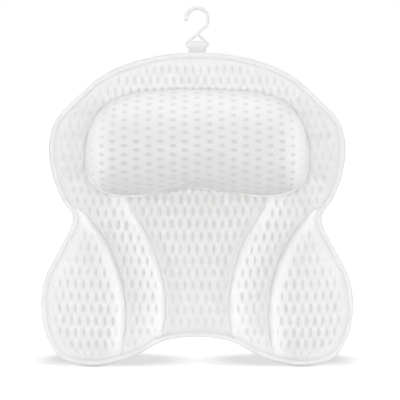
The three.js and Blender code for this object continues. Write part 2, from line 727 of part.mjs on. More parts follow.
// A round bar that follows points in the plane of the pillow, with a radius at each point
function bar(points, radiusAt) {
  const rings = points.map((p, i) => {
    const before = points[Math.max(i - 1, 0)];
    const after = points[Math.min(i + 1, points.length - 1)];
    const length = Math.hypot(after[0] - before[0], after[1] - before[1]);
    const side = [(after[1] - before[1]) / length, -(after[0] - before[0]) / length];
    return Array.from({ length: HOOK_SIDES }, (_, k) => {
      const angle = (k / HOOK_SIDES) * Math.PI * 2;
      const across = Math.cos(angle) * radiusAt(i);
      const out = Math.sin(angle) * radiusAt(i);
      return [p[0] + side[0] * across, out, p[1] + side[1] * across];
    });
  });
  const vertices = [...rings.flat().flat(), points[0][0], 0, points[0][1]];
  vertices.push(points.at(-1)[0], 0, points.at(-1)[1]);
  const first = rings.length * HOOK_SIDES;
  const faces = [];
  for (let i = 0; i < rings.length - 1; i++)
    for (let k = 0; k < HOOK_SIDES; k++) {
      const j = (k + 1) % HOOK_SIDES;
      const [a, b] = [i * HOOK_SIDES + k, i * HOOK_SIDES + j];
      faces.push(a, b, b + HOOK_SIDES, a, b + HOOK_SIDES, a + HOOK_SIDES);
    }
  for (let k = 0; k < HOOK_SIDES; k++) {
    const j = (k + 1) % HOOK_SIDES;
    const end = first - HOOK_SIDES;
    faces.push(first, j, k, first + 1, end + k, end + j);
  }
  const geometry = new THREE.BufferGeometry();
  geometry.setAttribute("position", new THREE.Float32BufferAttribute(vertices, 3));
  geometry.setIndex(faces);
  return geometry;
}

// Hook: a round bend with a thick tip, a slanting shank, and a triangle whose bottom bar runs in
// the webbing loop. Its origin is on the bar's axis.
function hookGeometry() {
  const side = LOOP_WIDTH / 2 + LOOP_SIDE_CLEARANCE + BAR_RADIUS;
  const apex = FRAME_APEX_HEIGHT - BAR_HEIGHT;
  const bendCentre = HOOK_BEND_HEIGHT - BAR_HEIGHT;
  const bend = Array.from({ length: HOOK_BEND_STEPS + 1 }, (_, i) => {
    const degrees = lerp(HOOK_TIP_ANGLE, HOOK_LEAVE_ANGLE, i / HOOK_BEND_STEPS);
    const angle = THREE.MathUtils.degToRad(degrees);
    return [HOOK_BEND_RADIUS * Math.cos(angle), bendCentre + HOOK_BEND_RADIUS * Math.sin(angle)];
  });
  const leftCorner = CORNER_SHARES.map(([x, z]) => [x * FRAME_CORNER - side, z * FRAME_CORNER]);
  const rightCorner = reversed(flipped(leftCorner));
  const line = [...bend, ...leftCorner, ...rightCorner];
  const thickness = (i) => lerp(HOOK_TIP_RADIUS, BAR_RADIUS, Math.min(i / HOOK_BEND_STEPS, 1));
  const brace = bar([rightCorner.at(-1), [0, apex]], () => BAR_RADIUS);
  const tip = new THREE.SphereGeometry(HOOK_TIP_RADIUS, HOOK_SIDES, HOOK_SIDES / 2);
  return joined(bar(line, thickness), brace, tip.translate(bend[0][0], 0, bend[0][1]));
}

const fabric = (color) => new THREE.MeshStandardMaterial({ color, roughness: 0.85, metalness: 0 });
const plastic = (color) => new THREE.MeshStandardMaterial({ color, roughness: 0.35, metalness: 0 });

function mesh(name, geometry, material) {
  const made = new THREE.Mesh(geometry, material);
  made.name = name;
  return made;
}

function padGroup() {
  const group = new THREE.Group();
  for (const [name, pad] of Object.entries(pads)) {
    const pockets = cupPlaces.map(headPocket);
    group.add(mesh(`${name}_panel`, cut(coverGeometry(pad), tailSlot()), fabric(0xf4f4f2)));
    group.add(mesh(`${name}_filling`, cut(fillingGeometry(pad), ...pockets), fabric(0xe9eaea)));
  }
  group.add(mesh("back_panel", backGeometry(), fabric(0xf0f0ee)));
  group.add(mesh("edge_binding", bindingGeometry(), fabric(0xf8f8f7)));
  return group;
}

function headrestGroup() {
  const group = new THREE.Group();
  group.add(mesh("headrest_cover", headrestCoverGeometry(), fabric(0xf4f4f2)));
  group.add(mesh("headrest_core", headrestCoreGeometry(), fabric(0xe9eaea)));
  group.add(mesh("headrest_welt", weltGeometry(), fabric(0xf8f8f7)));
  return group;
}

function cupGroup([x, z], number) {
  const group = new THREE.Group();
  group.position.set(x, 0, z);
  group.add(mesh(`suction_cup_${number}`, cupGeometry(), plastic(0xe6ecee)));
  group.add(mesh(`cup_patch_${number}`, patchGeometry(), fabric(0xf8f8f7)));
  group.add(mesh(`eyelet_${number}`, eyeletGeometry(), plastic(0xf2f2f2)));
  group.add(mesh(`eyelet_washer_${number}`, washerGeometry(), plastic(0xf2f2f2)));
  return group;
}

function hangerGroup() {
  const group = new THREE.Group();
  group.position.set(0, -BINDING_MIDDLE, PILLOW_HEIGHT + BAR_HEIGHT);
  group.add(mesh("hanging_loop", webbingGeometry(), fabric(0xececeb)));
  group.add(mesh("hook", hookGeometry(), plastic(0xf6f6f6)));
  return group;
}

// The origin is the middle of the suction cups' pattern, on the wall
const cupLevel = cupPlaces.reduce((sum, [, z]) => sum + z, 0) / cupPlaces.length;
const pillow = new THREE.Group();
pillow.position.z = -cupLevel;
pillow.add(padGroup());
pillow.add(headrestGroup());
cupPlaces.forEach((place, i) => pillow.add(cupGroup(place, i + 1)));
pillow.add(hangerGroup());

const bathPillow = new THREE.Group();
bathPillow.add(pillow);

export default bathPillow;
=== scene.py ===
"""A white bath pillow of spacer mesh: the look of every piece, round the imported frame.

Lengths are millimetres until a mesh is made. x is measured from the mirror plane, z from the
pillow's lowest edge, and depth from the tub wall, which is y = 0 with the pillow at y < 0.
"""
import math

import bmesh
import bpy
import numpy as np
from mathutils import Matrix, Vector, noise
from mathutils.geometry import delaunay_2d_cdt


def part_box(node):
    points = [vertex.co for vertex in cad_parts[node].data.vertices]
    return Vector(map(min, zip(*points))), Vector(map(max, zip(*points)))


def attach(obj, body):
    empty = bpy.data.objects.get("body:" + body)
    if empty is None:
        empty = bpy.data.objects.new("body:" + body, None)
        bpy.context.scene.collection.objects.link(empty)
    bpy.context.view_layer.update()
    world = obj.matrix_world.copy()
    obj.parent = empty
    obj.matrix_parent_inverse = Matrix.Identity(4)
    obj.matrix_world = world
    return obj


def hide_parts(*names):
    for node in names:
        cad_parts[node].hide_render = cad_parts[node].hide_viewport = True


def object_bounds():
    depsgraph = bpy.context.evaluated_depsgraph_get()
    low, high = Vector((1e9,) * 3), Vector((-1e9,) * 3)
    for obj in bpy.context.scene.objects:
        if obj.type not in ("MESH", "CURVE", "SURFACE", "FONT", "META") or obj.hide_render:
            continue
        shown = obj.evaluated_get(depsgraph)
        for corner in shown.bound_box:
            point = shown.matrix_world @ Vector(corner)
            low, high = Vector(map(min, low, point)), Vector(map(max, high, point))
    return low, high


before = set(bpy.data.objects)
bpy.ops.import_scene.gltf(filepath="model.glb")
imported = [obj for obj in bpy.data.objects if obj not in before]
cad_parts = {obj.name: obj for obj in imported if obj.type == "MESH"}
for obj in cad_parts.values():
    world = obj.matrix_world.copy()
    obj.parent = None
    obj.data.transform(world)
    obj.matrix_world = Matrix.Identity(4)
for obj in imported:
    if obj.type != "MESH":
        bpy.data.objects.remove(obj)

for stock in ("Cube", "Light", "Camera"):
    if stock in bpy.data.objects:
        bpy.data.objects.remove(bpy.data.objects[stock])
cad_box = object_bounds()

MM = 0.001
# Decimals that plane points are rounded to
DECIMALS = 6
LOWEST = cad_box[0].z


def frame_box(node):
    """A node's lowest and highest x, depth and z, in millimetres of the pillow."""
    low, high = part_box(node)
    return (
        np.array([low.x, -high.y, low.z - LOWEST]) / MM,
        np.array([high.x, -low.y, high.z - LOWEST]) / MM,
    )


# Sizes that the frame gives
outline_low, outline_high = frame_box("edge_binding")
back_low, back_high = frame_box("back_panel")
WIDTH = outline_high[0] - outline_low[0]
HEIGHT = outline_high[2]
BINDING_REAR, BINDING_FRONT = outline_low[1], outline_high[1]
BINDING_MIDDLE = (BINDING_REAR + BINDING_FRONT) / 2
BACK_REAR, BACK_FRONT = back_low[1], back_high[1]
PAD_BASE = frame_box("centre_panel")[0][1]
HEADREST_LOW, HEADREST_HIGH = frame_box("headrest_cover")
HEADREST_SEAT = HEADREST_LOW[1]
HEADREST_CROWN = HEADREST_HIGH[1] - HEADREST_SEAT
HEADREST_RISE = 1.3
SEAT_RISE = HEADREST_SEAT - PAD_BASE - 3.3

# Cloth and tape
COVER_THICKNESS = 3.0
PAD_FACE = PAD_BASE + COVER_THICKNESS
BINDING_WIDTH = 6.6
TAPE_THICKNESS = 1.6
SEAM_HALF = 0.06
HEM_LINE = BINDING_WIDTH - 0.4
HEM_DEPTH = 2.6

# The lattice of openings in the spacer mesh, on the pads and, turned by 90 degrees, on the headrest
PAD_WEAVE = dict(pitch=10.0, row=14.5, slot=(1.95, 5.3), pit=1.45, puff=0.8, line=0.75)
HEADREST_WEAVE = dict(pitch=10.2, row=14.05, slot=(2.4, 4.1), pit=0.7, puff=0.06, line=0.1)
BACK_WEAVE = dict(pitch=10.0, row=14.5, slot=(1.8, 5.0), pit=1.3, puff=0.5, line=0.55)

# Right half of the outline from the bottom centre to the top centre: shares of half the width and
# of the height
OUTLINE_SHARES = [
    (0, 0.093), (0.218, 0.078), (0.347, 0.045), (0.479, 0.018), (0.674, 0), (0.868, 0.024),
    (0.968, 0.096), (1, 0.197), (0.971, 0.287), (0.878, 0.378), (0.795, 0.476), (0.866, 0.535),
    (0.921, 0.606), (0.943, 0.703), (0.905, 0.781), (0.786, 0.848),
    (0.604, 0.925), (0.364, 0.976), (0, 1),
]
CENTRE_SEAM_ROW = 1
WING_SEAM_ROW = 3
WING_HEAD_ROW = 10.5
CENTRE_SEAM_SHARES = [(0.201, 0.178), (0.221, 0.283), (0.295, 0.401), (0.429, 0.512)]
HIDDEN_SEAM_SHARES = [(0.429, 0.512), (0.47, 0.583), (0.32, 0.668), (0, 0.703)]
WING_SEAM_SHARES = [(0.454, 0.15), (0.475, 0.264), (0.558, 0.384), (0.667, 0.466), (0.735, 0.499)]
HEADREST_SHARES = [
    (0, 0.08), (0.375, 0.052), (0.65, 0.032), (0.858, 0.078), (0.965, 0.19), (0.995, 0.39),
    (0.955, 0.65), (0.81, 0.87), (0.58, 0.965), (0.285, 0.995), (0, 1),
]
CUP_SHARES = [(0.621, 0.722), (0.237, 0.512), (0.737, 0.197)]


# Plane curves

def catmull_rom(points, closed, per_span=16):
    """A smooth curve through points, with even speed at each, as many short edges."""
    p = np.array(points, float)
    if closed:
        ring = np.vstack([p[-1:], p, p[:2]])
    else:
        ring = np.vstack([2 * p[:1] - p[1:2], p, 2 * p[-1:] - p[-2:-1]])
    t = np.linspace(0, 1, per_span, endpoint=False)[:, None]
    runs = []
    for a, b, c, d in zip(ring, ring[1:], ring[2:], ring[3:]):
        ab, bc, cd = (math.sqrt(max(np.linalg.norm(v), 1e-6)) for v in (b - a, c - b, d - c))
        start = ((b - a) / ab - (c - a) / (ab + bc) + (c - b) / bc) * bc
        end = ((c - b) / bc - (d - b) / (bc + cd) + (d - c) / cd) * bc
        cubic = 2 * (b - c) + start + end
        square = 3 * (c - b) - 2 * start - end
        runs.append(b + start * t + square * t**2 + cubic * t**3)
    if not closed:
        runs.append(p[-1:])
    return np.vstack(runs)


def exact(points):
    """Points without their last bits, so that every run gives the same triangles."""
    return points.round(DECIMALS) + 0.0


def resampled(curve, spacing, closed=False):
    """The curve with points at even distances of about the spacing."""
    p = np.vstack([curve, curve[:1]]) if closed else curve
    along = np.r_[0, np.cumsum(np.linalg.norm(np.diff(p, axis=0), axis=1))]
    count = max(2, round(along[-1] / spacing))
    at = np.linspace(0, along[-1], count + (not closed), endpoint=not closed)
    return exact(np.stack([np.interp(at, along, p[:, k]) for k in (0, 1)], axis=1))


def unit(vectors):
    return vectors / np.linalg.norm(vectors, axis=1)[:, None]


def tangent(curve, closed):
    if closed:
        return np.roll(curve, -1, axis=0) - np.roll(curve, 1, axis=0)
    return np.gradient(curve, axis=0)


def sideways(curve, closed=True):
    """Unit vectors to the left of a curve, which point into a counter-clockwise loop."""
    along = tangent(curve, closed)
    return unit(np.stack([-along[:, 1], along[:, 0]], axis=1))


def offset(curve, distance, closed=True):
    return curve + sideways(curve, closed) * distance


def nearest(curve, q, closed=False):
    """Distance from each point of q to the curve, and the unit vector from the curve to it."""
    a = curve if closed else curve[:-1]
    b = np.roll(curve, -1, axis=0) if closed else curve[1:]
    run = b - a
    length = (run**2).sum(1)
    best = np.full(len(q), np.inf)
    away = np.zeros((len(q), 2))
    batch = 4000
    for start in range(0, len(q), batch):
        part = q[start:start + batch]
        rel = part[:, None] - a
        t = np.clip((rel * run).sum(2) / length, 0, 1)
        gap = rel - t[..., None] * run
        far = np.hypot(gap[..., 0], gap[..., 1])
        rows, pick = np.arange(len(part)), far.argmin(1)
        best[start:start + batch] = far[rows, pick]
        away[start:start + batch] = gap[rows, pick] / np.maximum(far[rows, pick], 1e-9)[:, None]
    return best, away


def inside(loop, q):
    """Which points of q lie in a closed loop."""
    x, z = q[:, 0], q[:, 1]
    hit = np.zeros(len(q), bool)
    for a, b in zip(loop, np.roll(loop, -1, axis=0)):
        if a[1] != b[1]:
            crosses = (a[1] > z) != (b[1] > z)
            hit ^= crosses & (x < a[0] + (z - a[1]) * (b[0] - a[0]) / (b[1] - a[1]))
    return hit


def smoothstep(x, low, high):
    t = np.clip((x - low) / (high - low), 0, 1)
    return t * t * (3 - 2 * t)


def falling(x, low, high):
    return 1 - smoothstep(x, low, high)


def mirrored(half):
    return half + [(-x, z) for x, z in half[-2:0:-1]]


def flip(points):
    return points * [-1, 1]


def to_pillow(shares):
    return [(x * WIDTH / 2, z * HEIGHT) for x, z in shares]


def to_headrest(shares):
    width, _, height = HEADREST_HIGH - HEADREST_LOW
    foot = HEADREST_LOW[2] + HEADREST_RISE
    return [(x * width / 2, foot + z * height) for x, z in shares]


SPAN = 16
outline = catmull_rom(mirrored(to_pillow(OUTLINE_SHARES)), True, SPAN)
headrest_line = catmull_rom(mirrored(to_headrest(HEADREST_SHARES)), True, SPAN)


def along_outline(distance, first, last):
    """The outline from one row to another, moved inwards."""
    loop = offset(outline, distance)
    ends = [round(row * SPAN) for row in (first, last)]
    if ends[1] < ends[0]:
        ends[1] += len(loop)
    return np.array([loop[i % len(loop)] for i in range(ends[0], ends[1] + 1)])


def seam_with_ends(shares, *rows):
    """A seam of the right half, run out under the binding at a foot row and a head row."""
    ends = [along_outline(HEM_LINE, row, row)[0] for row in rows]
    return catmull_rom(ends[:1] + to_pillow(shares) + ends[1:], False)


centre_seam = seam_with_ends(CENTRE_SEAM_SHARES, CENTRE_SEAM_ROW)
hidden_seam = seam_with_ends(HIDDEN_SEAM_SHARES)
wing_seam = seam_with_ends(WING_SEAM_SHARES, WING_SEAM_ROW, WING_HEAD_ROW)


# Meshes of plane regions

CLEAR_SHARE = 0.55
CLOSE_ENOUGH = 1e-14


def fill_region(loop, step, extra=None, holes=()):
    """Points and triangles that fill a closed loop, on a lattice inside it."""
    rings = [loop, *holes]
    ticks = []
    for low, high, size in zip(loop.min(0), loop.max(0), step):
        ticks.append(np.arange(math.floor(low / size), math.ceil(high / size) + 1) * size)
    grid = np.stack(np.meshgrid(*ticks), axis=-1).reshape(-1, 2)
    grid = grid[inside(loop, grid)]
    clear = CLEAR_SHARE * min(step)
    for ring in rings:
        grid = grid[nearest(ring, grid, True)[0] > clear]
    for ring in holes:
        grid = grid[~inside(ring, grid)]
    if extra is not None:
        extra = extra[inside(loop, extra) & (nearest(loop, extra, True)[0] > clear)]
        grid = np.vstack([grid[nearest(extra, grid, True)[0] > clear], extra])
    edges, start = [], 0
    for ring in rings:
        edges += [(start + i, start + (i + 1) % len(ring)) for i in range(len(ring))]
        start += len(ring)
    points = [Vector(p) for p in exact(np.vstack([*rings, grid]))]
    made = delaunay_2d_cdt(points, edges, [], 1, 1e-5)
    points = np.array([tuple(p) for p in made[0]])
    faces = np.array([f for f in made[2] if len(f) == 3])
    middle = points[faces].mean(1)
    keep = inside(loop, middle)
    for ring in holes:
        keep &= ~inside(ring, middle)
    faces = faces[keep]
    p = points[faces]
    area = np.cross(p[:, 1] - p[:, 0], p[:, 2] - p[:, 0])
    faces[area < 0] = faces[area < 0][:, ::-1]
    used = np.unique(faces)
    renumber = np.zeros(len(points), int)
    renumber[used] = np.arange(len(used))
    return points[used], renumber[faces]


class Membrane:
    """Smooth fields over a filled region, held to given values at some of its points."""

    def __init__(self, points, faces):
        self.count = len(points)
        self.area = np.zeros(self.count)
        starts, ends, weights = [], [], []
        for k in range(3):
            i, j, o = faces[:, k], faces[:, (k + 1) % 3], faces[:, (k + 2) % 3]
            a, b = points[i] - points[o], points[j] - points[o]
            cross = np.abs(np.cross(a, b))
            starts.append(i)
            ends.append(j)
            weights.append(np.clip(0.5 * (a * b).sum(1) / np.maximum(cross, 1e-9), 0.01, 10))
            np.add.at(self.area, i, cross / 6)
        self.i, self.j = np.concatenate(starts), np.concatenate(ends)
        self.w = np.concatenate(weights)

    def at_points(self, starts, ends):
        return np.bincount(self.i, starts, self.count) + np.bincount(self.j, ends, self.count)

    def pull(self, x):
        flow = self.w * (x[self.i] - x[self.j])
        return self.at_points(flow, -flow) + self.spring * x

    def solve(self, fixed, values, reach=0.0, rounds=600):
        """Values held at the fixed points and smooth between them, by conjugate gradients.

        With a reach, the field climbs from them towards 1 over about that distance.
        """
        x = np.where(fixed, values, 0.0)
        free = ~fixed
        self.spring = self.area / reach**2 if reach else np.zeros(self.count)
        diagonal = self.at_points(self.w, self.w) + self.spring
        rest = (self.spring - self.pull(x)) * free
        z = rest / diagonal
        step = z.copy()
        energy = rest @ z
        for _ in range(rounds):
            pulled = self.pull(step) * free
            rate = energy / max(step @ pulled, 1e-30)
            x += rate * step
            rest -= rate * pulled
            z = rest / diagonal
            new = rest @ z
            if new < CLOSE_ENOUGH:
                break
            step = z + step * (new / energy)
            energy = new
        return x


# Blender meshes

def to_frame(points):
    """x, depth and z of the pillow as coordinates of the frame."""
    p = np.asarray(points, float)
    return np.stack([p[:, 0] * MM, -p[:, 1] * MM, p[:, 2] * MM + LOWEST], axis=1)


def new_object(name, vertices, faces, smooth=True):
    """A mesh object from vertices in metres."""
    data = bpy.data.meshes.new(name)
    data.from_pydata([tuple(v) for v in vertices], [], [tuple(f) for f in faces])
    data.polygons.foreach_set("use_smooth", np.full(len(data.polygons), smooth))
    data.update()
    made = bpy.data.objects.new(name, data)
    bpy.context.scene.collection.objects.link(made)
    return made


def at_depth(points, depth):
    """Points of the plane as x, depth and z."""
    return np.insert(points, 1, depth, axis=1)


def read(layer, key="vector"):
    """The vectors of a mesh's layer."""
    found = np.empty(len(layer) * 3, np.float32)
    layer.foreach_get(key, found)
    return found.reshape(-1, 3).astype(float)


def coordinates(data):
    return read(data.vertices, "co")


def set_coordinates(data, places):
    data.vertices.foreach_set("co", np.asarray(places, np.float32).ravel())
    data.update()


def write(data, **layers):
    """Keeps a number or a vector for each point, under a name that materials read."""
    for name, values in layers.items():
        kind, key = ("FLOAT_VECTOR", "vector") if values.ndim == 2 else ("FLOAT", "value")
        layer = data.attributes.new(name, kind, "POINT")
        layer.data.foreach_set(key, values.astype(np.float32).ravel())


def write_weave(piece, along, across):
    """Cloth coordinates of a grid of points, from those of its rows and columns."""
    weave = np.stack(np.meshgrid(along, across, indexing="ij"), axis=-1).reshape(-1, 2)
    write(piece.data, weave=np.column_stack([weave, np.zeros(len(weave))]))


def apply_modifiers(piece):
    graph = bpy.context.evaluated_depsgraph_get()
    data = bpy.data.meshes.new_from_object(piece.evaluated_get(graph), depsgraph=graph)
    piece.modifiers.clear()
    piece.data = data


def subdivide(piece, levels):
    surface = piece.modifiers.new("subdivision", "SUBSURF")
    surface.levels = surface.render_levels = levels
    surface.boundary_smooth = "PRESERVE_CORNERS"
    apply_modifiers(piece)


def edit(piece, *steps):
    """Runs steps on a piece's mesh."""
    work = bmesh.new()
    work.from_mesh(piece.data)
    for step in steps:
        step(work)
    work.to_mesh(piece.data)
    work.free()


def face_outward(work):
    bmesh.ops.recalc_face_normals(work, faces=work.faces[:])


def join_pairs(work):
    """Turns pairs of triangles into four-sided faces."""
    bmesh.ops.join_triangles(
        work, faces=work.faces[:], angle_face_threshold=1.2, angle_shape_threshold=0.9
    )
    for face in work.faces:
        face.smooth = True


def close_behind(piece, depth):
    """Walls from the open edge back to a depth, and a flat face there."""

    def wall(work):
        rim = [e for e in work.edges if e.is_boundary]
        made = bmesh.ops.extrude_edge_only(work, edges=rim)["geom"]
        for v in made:
            if isinstance(v, bmesh.types.BMVert):
                v.co.y = -depth * MM
        rear = [e for e in made if isinstance(e, bmesh.types.BMEdge)]
        bmesh.ops.triangle_fill(work, use_beauty=False, use_dissolve=False, edges=rear)

    edit(piece, wall, face_outward)


# Spacer mesh

OPENING_EDGE = (0.55, 1.25)
GROOVE_SWAY, GROOVE_WIDTH = 0.18, 0.8


def lattice(across, along, pitch, row, slot, pit, puff, line):
    """Height of the spacer mesh, and how far each point is in an opening and in a groove."""
    turn = 2 * np.pi * across / pitch
    band = np.round(along / row)
    shift = (band % 2) * pitch / 2
    from_slot = (across - shift + pitch / 2) % pitch - pitch / 2
    beside = along - band * row
    far = np.sqrt((from_slot / slot[0]) ** 2 + (beside / slot[1]) ** 2)
    opening = falling(far, *OPENING_EDGE)
    lens = -np.cos(turn) * np.cos(np.pi * along / row)
    strip = np.floor(along / row)
    sway = np.where(strip % 2 == 0, -1.0, 1.0) * np.cos(turn)
    middle = (strip + 0.5) * row + sway * GROOVE_SWAY * row
    groove = line * np.exp(-(((along - middle) / GROOVE_WIDTH) ** 2))
    return puff * lens - groove - pit * opening, opening, groove


def unevenness(points, size, seed):
    """Slow, soft swells of a surface."""
    return np.array([noise.noise(Vector((*(p / size), seed))) for p in points])


def emboss(piece, weave, turned=False):
    """Presses the lattice into a fine mesh whose weave attribute holds where its cloth is."""
    data = piece.data
    where = read(data.attributes["weave"].data)
    across, along = (where[:, 1], where[:, 0]) if turned else (where[:, 0], where[:, 1])
    height, opening, groove = lattice(across, along, **weave)
    fade = np.maximum(where[:, 2], 0)
    lift = read(data.vertex_normals) * (height * fade * MM)[:, None]
    set_coordinates(data, coordinates(data) + lift)
    write(data, opening=opening * fade, groove=groove * fade)


# Soft pads

EDGE_STEP = 3.0
STEP_ACROSS, STEP_ALONG = PAD_WEAVE["pitch"] / 3, PAD_WEAVE["row"] / 4
ON_SEAM = 0.5
# How grey the painted shade beside a valley seam is
VALLEY_PAINTED_SHADE = 0.4
SEWN_OUTSIDE = 3.5
PAD_SWELL = 38.0


def soft_form(name, points, faces, depth, weave, held, stretched, dull):
    """A coarse cushion surface, with its cloth coordinates and the points that its seams hold.

    The second-last argument is how far each point's cloth is painted paler, as a painted highlight,
    and the last how far it is painted greyer, as painted shade.
    """
    piece = new_object(name, to_frame(at_depth(points, depth)), faces)
    write(piece.data, weave=weave, stretched=stretched, dull=dull)
    edit(piece, join_pairs)
    group = piece.vertex_groups.new(name="held")
    group.add([int(i) for i in np.nonzero(held)[0]], 1.0, "REPLACE")
    return piece


def pad_surface(name, loop, crests, valleys, crown, reach, power, lean, shoulder, plain, place):
    """A pad that stands high along its crest seams and falls to its valley seams and the binding.

    crests and valleys are (curve, height at the seam, fade from, fade to, tint to), where the tint
    is a painted highlight, paler, beside a crest and painted shade, greyer, beside a valley. reach is
    how far in the pad takes to rise from the binding, and power how round it is there. lean is the
    share of its height that only crests have, shoulder is how far in from a crest seam its edge is
    rounded, and plain is how far in from the binding the openings begin and are full. place gives
    the cloth's coordinates and its relief.
    """
    hem = resampled(offset(outline, HEM_LINE), EDGE_STEP, True)
    points, faces = fill_region(resampled(loop, EDGE_STEP, True), (STEP_ACROSS, STEP_ALONG), hem)
    to_outline, _ = nearest(outline[::2], points, True)
    bound = to_outline < HEM_LINE + 0.1
    low, held, high = bound.copy(), bound.copy(), np.zeros(len(points), bool)
    values, wall = np.zeros(len(points)), np.ones(len(points))
    # Painted highlight beside the crests; painted shade at the hem, beside the valleys and beside the
    # headrest
    stretched, dull = np.zeros(len(points)), hem_shade(points, to_outline)
    fade = smoothstep(to_outline, *(HEM_LINE + far for far in plain))
    for seams, is_crest in ((crests, True), (valleys, False)):
        for curve, level, fade_low, fade_high, tint in seams:
            gap, _ = nearest(curve, points)
            on_seam = (gap < ON_SEAM) & ~bound
            held |= on_seam
            values[on_seam] = level
            fade = fade * smoothstep(gap, fade_low, fade_high)
            if is_crest:
                stretched = np.maximum(stretched, falling(gap, fade_low, tint))
                high |= on_seam
                share = np.clip((gap - SEAM_HALF) / shoulder, 0, 1)
                wall = np.minimum(wall, np.sqrt(share * (2 - share)))
            else:
                low |= on_seam
                dull = np.maximum(dull, VALLEY_PAINTED_SHADE * falling(gap, fade_low, tint))
    field = Membrane(points, faces)
    dome = np.clip(field.solve(low, np.zeros(len(points)), reach), 0, 1) ** power
    base = field.solve(held, values)
    toward = field.solve(low | high, high.astype(float))
    share = dome * wall
    height = base * (1 - share) + crown(points) * share * (1 - lean + lean * toward)
    height += unevenness(points, PAD_SWELL, len(name)) * share
    height, sewn = rest_under_headrest(points, height)
    dull = np.maximum(dull, headrest_shade(points))
    u, v, relief = place(points)
    weave = np.column_stack([u, v, fade * relief])
    return soft_form(name, points, faces, PAD_FACE + height, weave, held | sewn, stretched, dull)


LEG_CROWN = 19.5
FALL_LOW, FALL_HIGH = 140.0, 185.0


def yoke_crown(points):
    fall = smoothstep(points[:, 1], FALL_LOW, FALL_HIGH)
    return LEG_CROWN + (SEAT_RISE - LEG_CROWN) * fall


def even_crown(height):
    return lambda points: np.full(len(points), height)


# Where an even row of openings lies on each pad, and how the yoke's cloth is gathered above
WING_PHASE = 132.8
WING_STRETCH = 1.025
WING_SHIFT = 3.6
CENTRE_PHASE = 145.7
CENTRE_STRETCH = 1.035
YOKE_PHASE = 131.0
GATHER_START = 188.2
GATHERED_ROW = 13.15
GATHERED_PITCH = 9.35


def yoke_cloth(points):
    """Cloth coordinates of the yoke: its openings stand closer together above the legs."""
    x, z = points.T
    pitch = np.interp(z, [200.0, 330.0], [PAD_WEAVE["pitch"], GATHERED_PITCH])
    above = np.maximum(z - GATHER_START, 0)
    along = np.minimum(z, GATHER_START) - YOKE_PHASE + above * PAD_WEAVE["row"] / GATHERED_ROW
    relief = np.interp(z, [60.0, 120.0, 170.0, 230.0, 300.0, 340.0], [0.65, 1.0, 1.0, 0.6, 0.6, 0.75])
    return x * PAD_WEAVE["pitch"] / pitch, along, relief


def wing_cloth(points):
    """Cloth coordinates of a wing: its openings are deepest low down."""
    x, z = points.T
    relief = np.interp(z, [60.0, 150.0], [1.1, 0.75])
    return x + WING_SHIFT * np.sign(x), (z - WING_PHASE) / WING_STRETCH, relief


def centre_cloth(points):
    """Cloth coordinates of the centre panel: its openings are shallower low down."""
    x, z = points.T
    relief = np.interp(z, [50.0, 170.0], [0.6, 1.0])
    return x, (z - CENTRE_PHASE) / CENTRE_STRETCH, relief


def hem_shade(points, to_outline):
    """Painted shade: the cloth is greyer where it goes under the binding, most of all at the arch."""
    x, z = points.T
    at_arch = falling(np.abs(x), 40.0, 75.0) * falling(z, 60.0, 90.0)
    share = np.maximum(at_arch, np.interp(z, [200.0, 300.0], [0.65, 0.15]))
    return share * falling(to_outline, HEM_LINE + 0.2, HEM_LINE + 3.4)


def headrest_shade(points):
    """Painted shade: the pads' cloth is greyer beside the headrest's ends."""
    gap, _ = nearest(headrest_line, points, True)
    x, z = points.T
    beside = smoothstep(np.abs(x), 90.0, 118.0) * smoothstep(z, 190.0, 235.0)
    return 0.95 * beside * falling(gap, 4.0, 52.0) * falling(z, 305.0, 340.0)


def rest_under_headrest(points, height):
    """The pads are pressed level, and sewn down, where the headrest stands on them."""
    gap, _ = nearest(headrest_line, points, True)
    depth = np.where(inside(headrest_line, points), gap, -gap)
    under = smoothstep(depth, -4.0, HEADREST_TUCK + 3.0)
    return height + (SEAT_RISE - height) * under, depth > -SEWN_OUTSIDE


def joined(*runs):
    """Runs of points as one closed loop, without their doubled ends."""
    return np.vstack([run[:-1] for run in runs])


def reverse(run):
    return run[::-1]


LAST_ROW = len(OUTLINE_SHARES) * 2 - 2


def rim(first, last):
    """The pads' edge under the binding, where a row below zero is on the left half."""
    return along_outline(BINDING_WIDTH - HEM_DEPTH, first % LAST_ROW, last % LAST_ROW)


def seam_side(seam, distance, at_head=True):
    """A seam moved to one side, run out to the pad's rim at its foot and perhaps its head."""
    side = offset(seam, distance, closed=False)
    foot, head = unit(np.stack([side[0] - side[2], side[-1] - side[-3]])) * (HEM_DEPTH + 0.4)
    ends = [side[-1:] + head] if at_head else []
    return np.vstack([side[:1] + foot, side, *ends])


# Each seam's height, where the openings beside it fade in, and how far the painted highlight beside a
# crest, and the painted shade beside a valley, reaches
WING_CREST = (5.0, 3.0, 16.0, 24.0)
YOKE_CREST = (6.0, 3.0, 13.0, 42.0)
YOKE_VALLEY = (5.0, 1.0, 6.0, 14.0)
CENTRE_VALLEY = (6.0, 1.0, 6.0, 22.0)
WING_SHAPE = dict(
    crown=even_crown(25.0), reach=20.0, power=0.72, lean=0.38, shoulder=19.0, plain=(4.0, 15.0),
    place=wing_cloth,
)
YOKE_SHAPE = dict(
    crown=yoke_crown, reach=15.0, power=0.72, lean=0.3, shoulder=13.0, plain=(1.5, 9.0),
    place=yoke_cloth,
)
CENTRE_SHAPE = dict(
    crown=even_crown(9.5), reach=9.0, power=0.8, lean=0.0, shoulder=1.0, plain=(1.5, 9.0),
    place=centre_cloth,
)


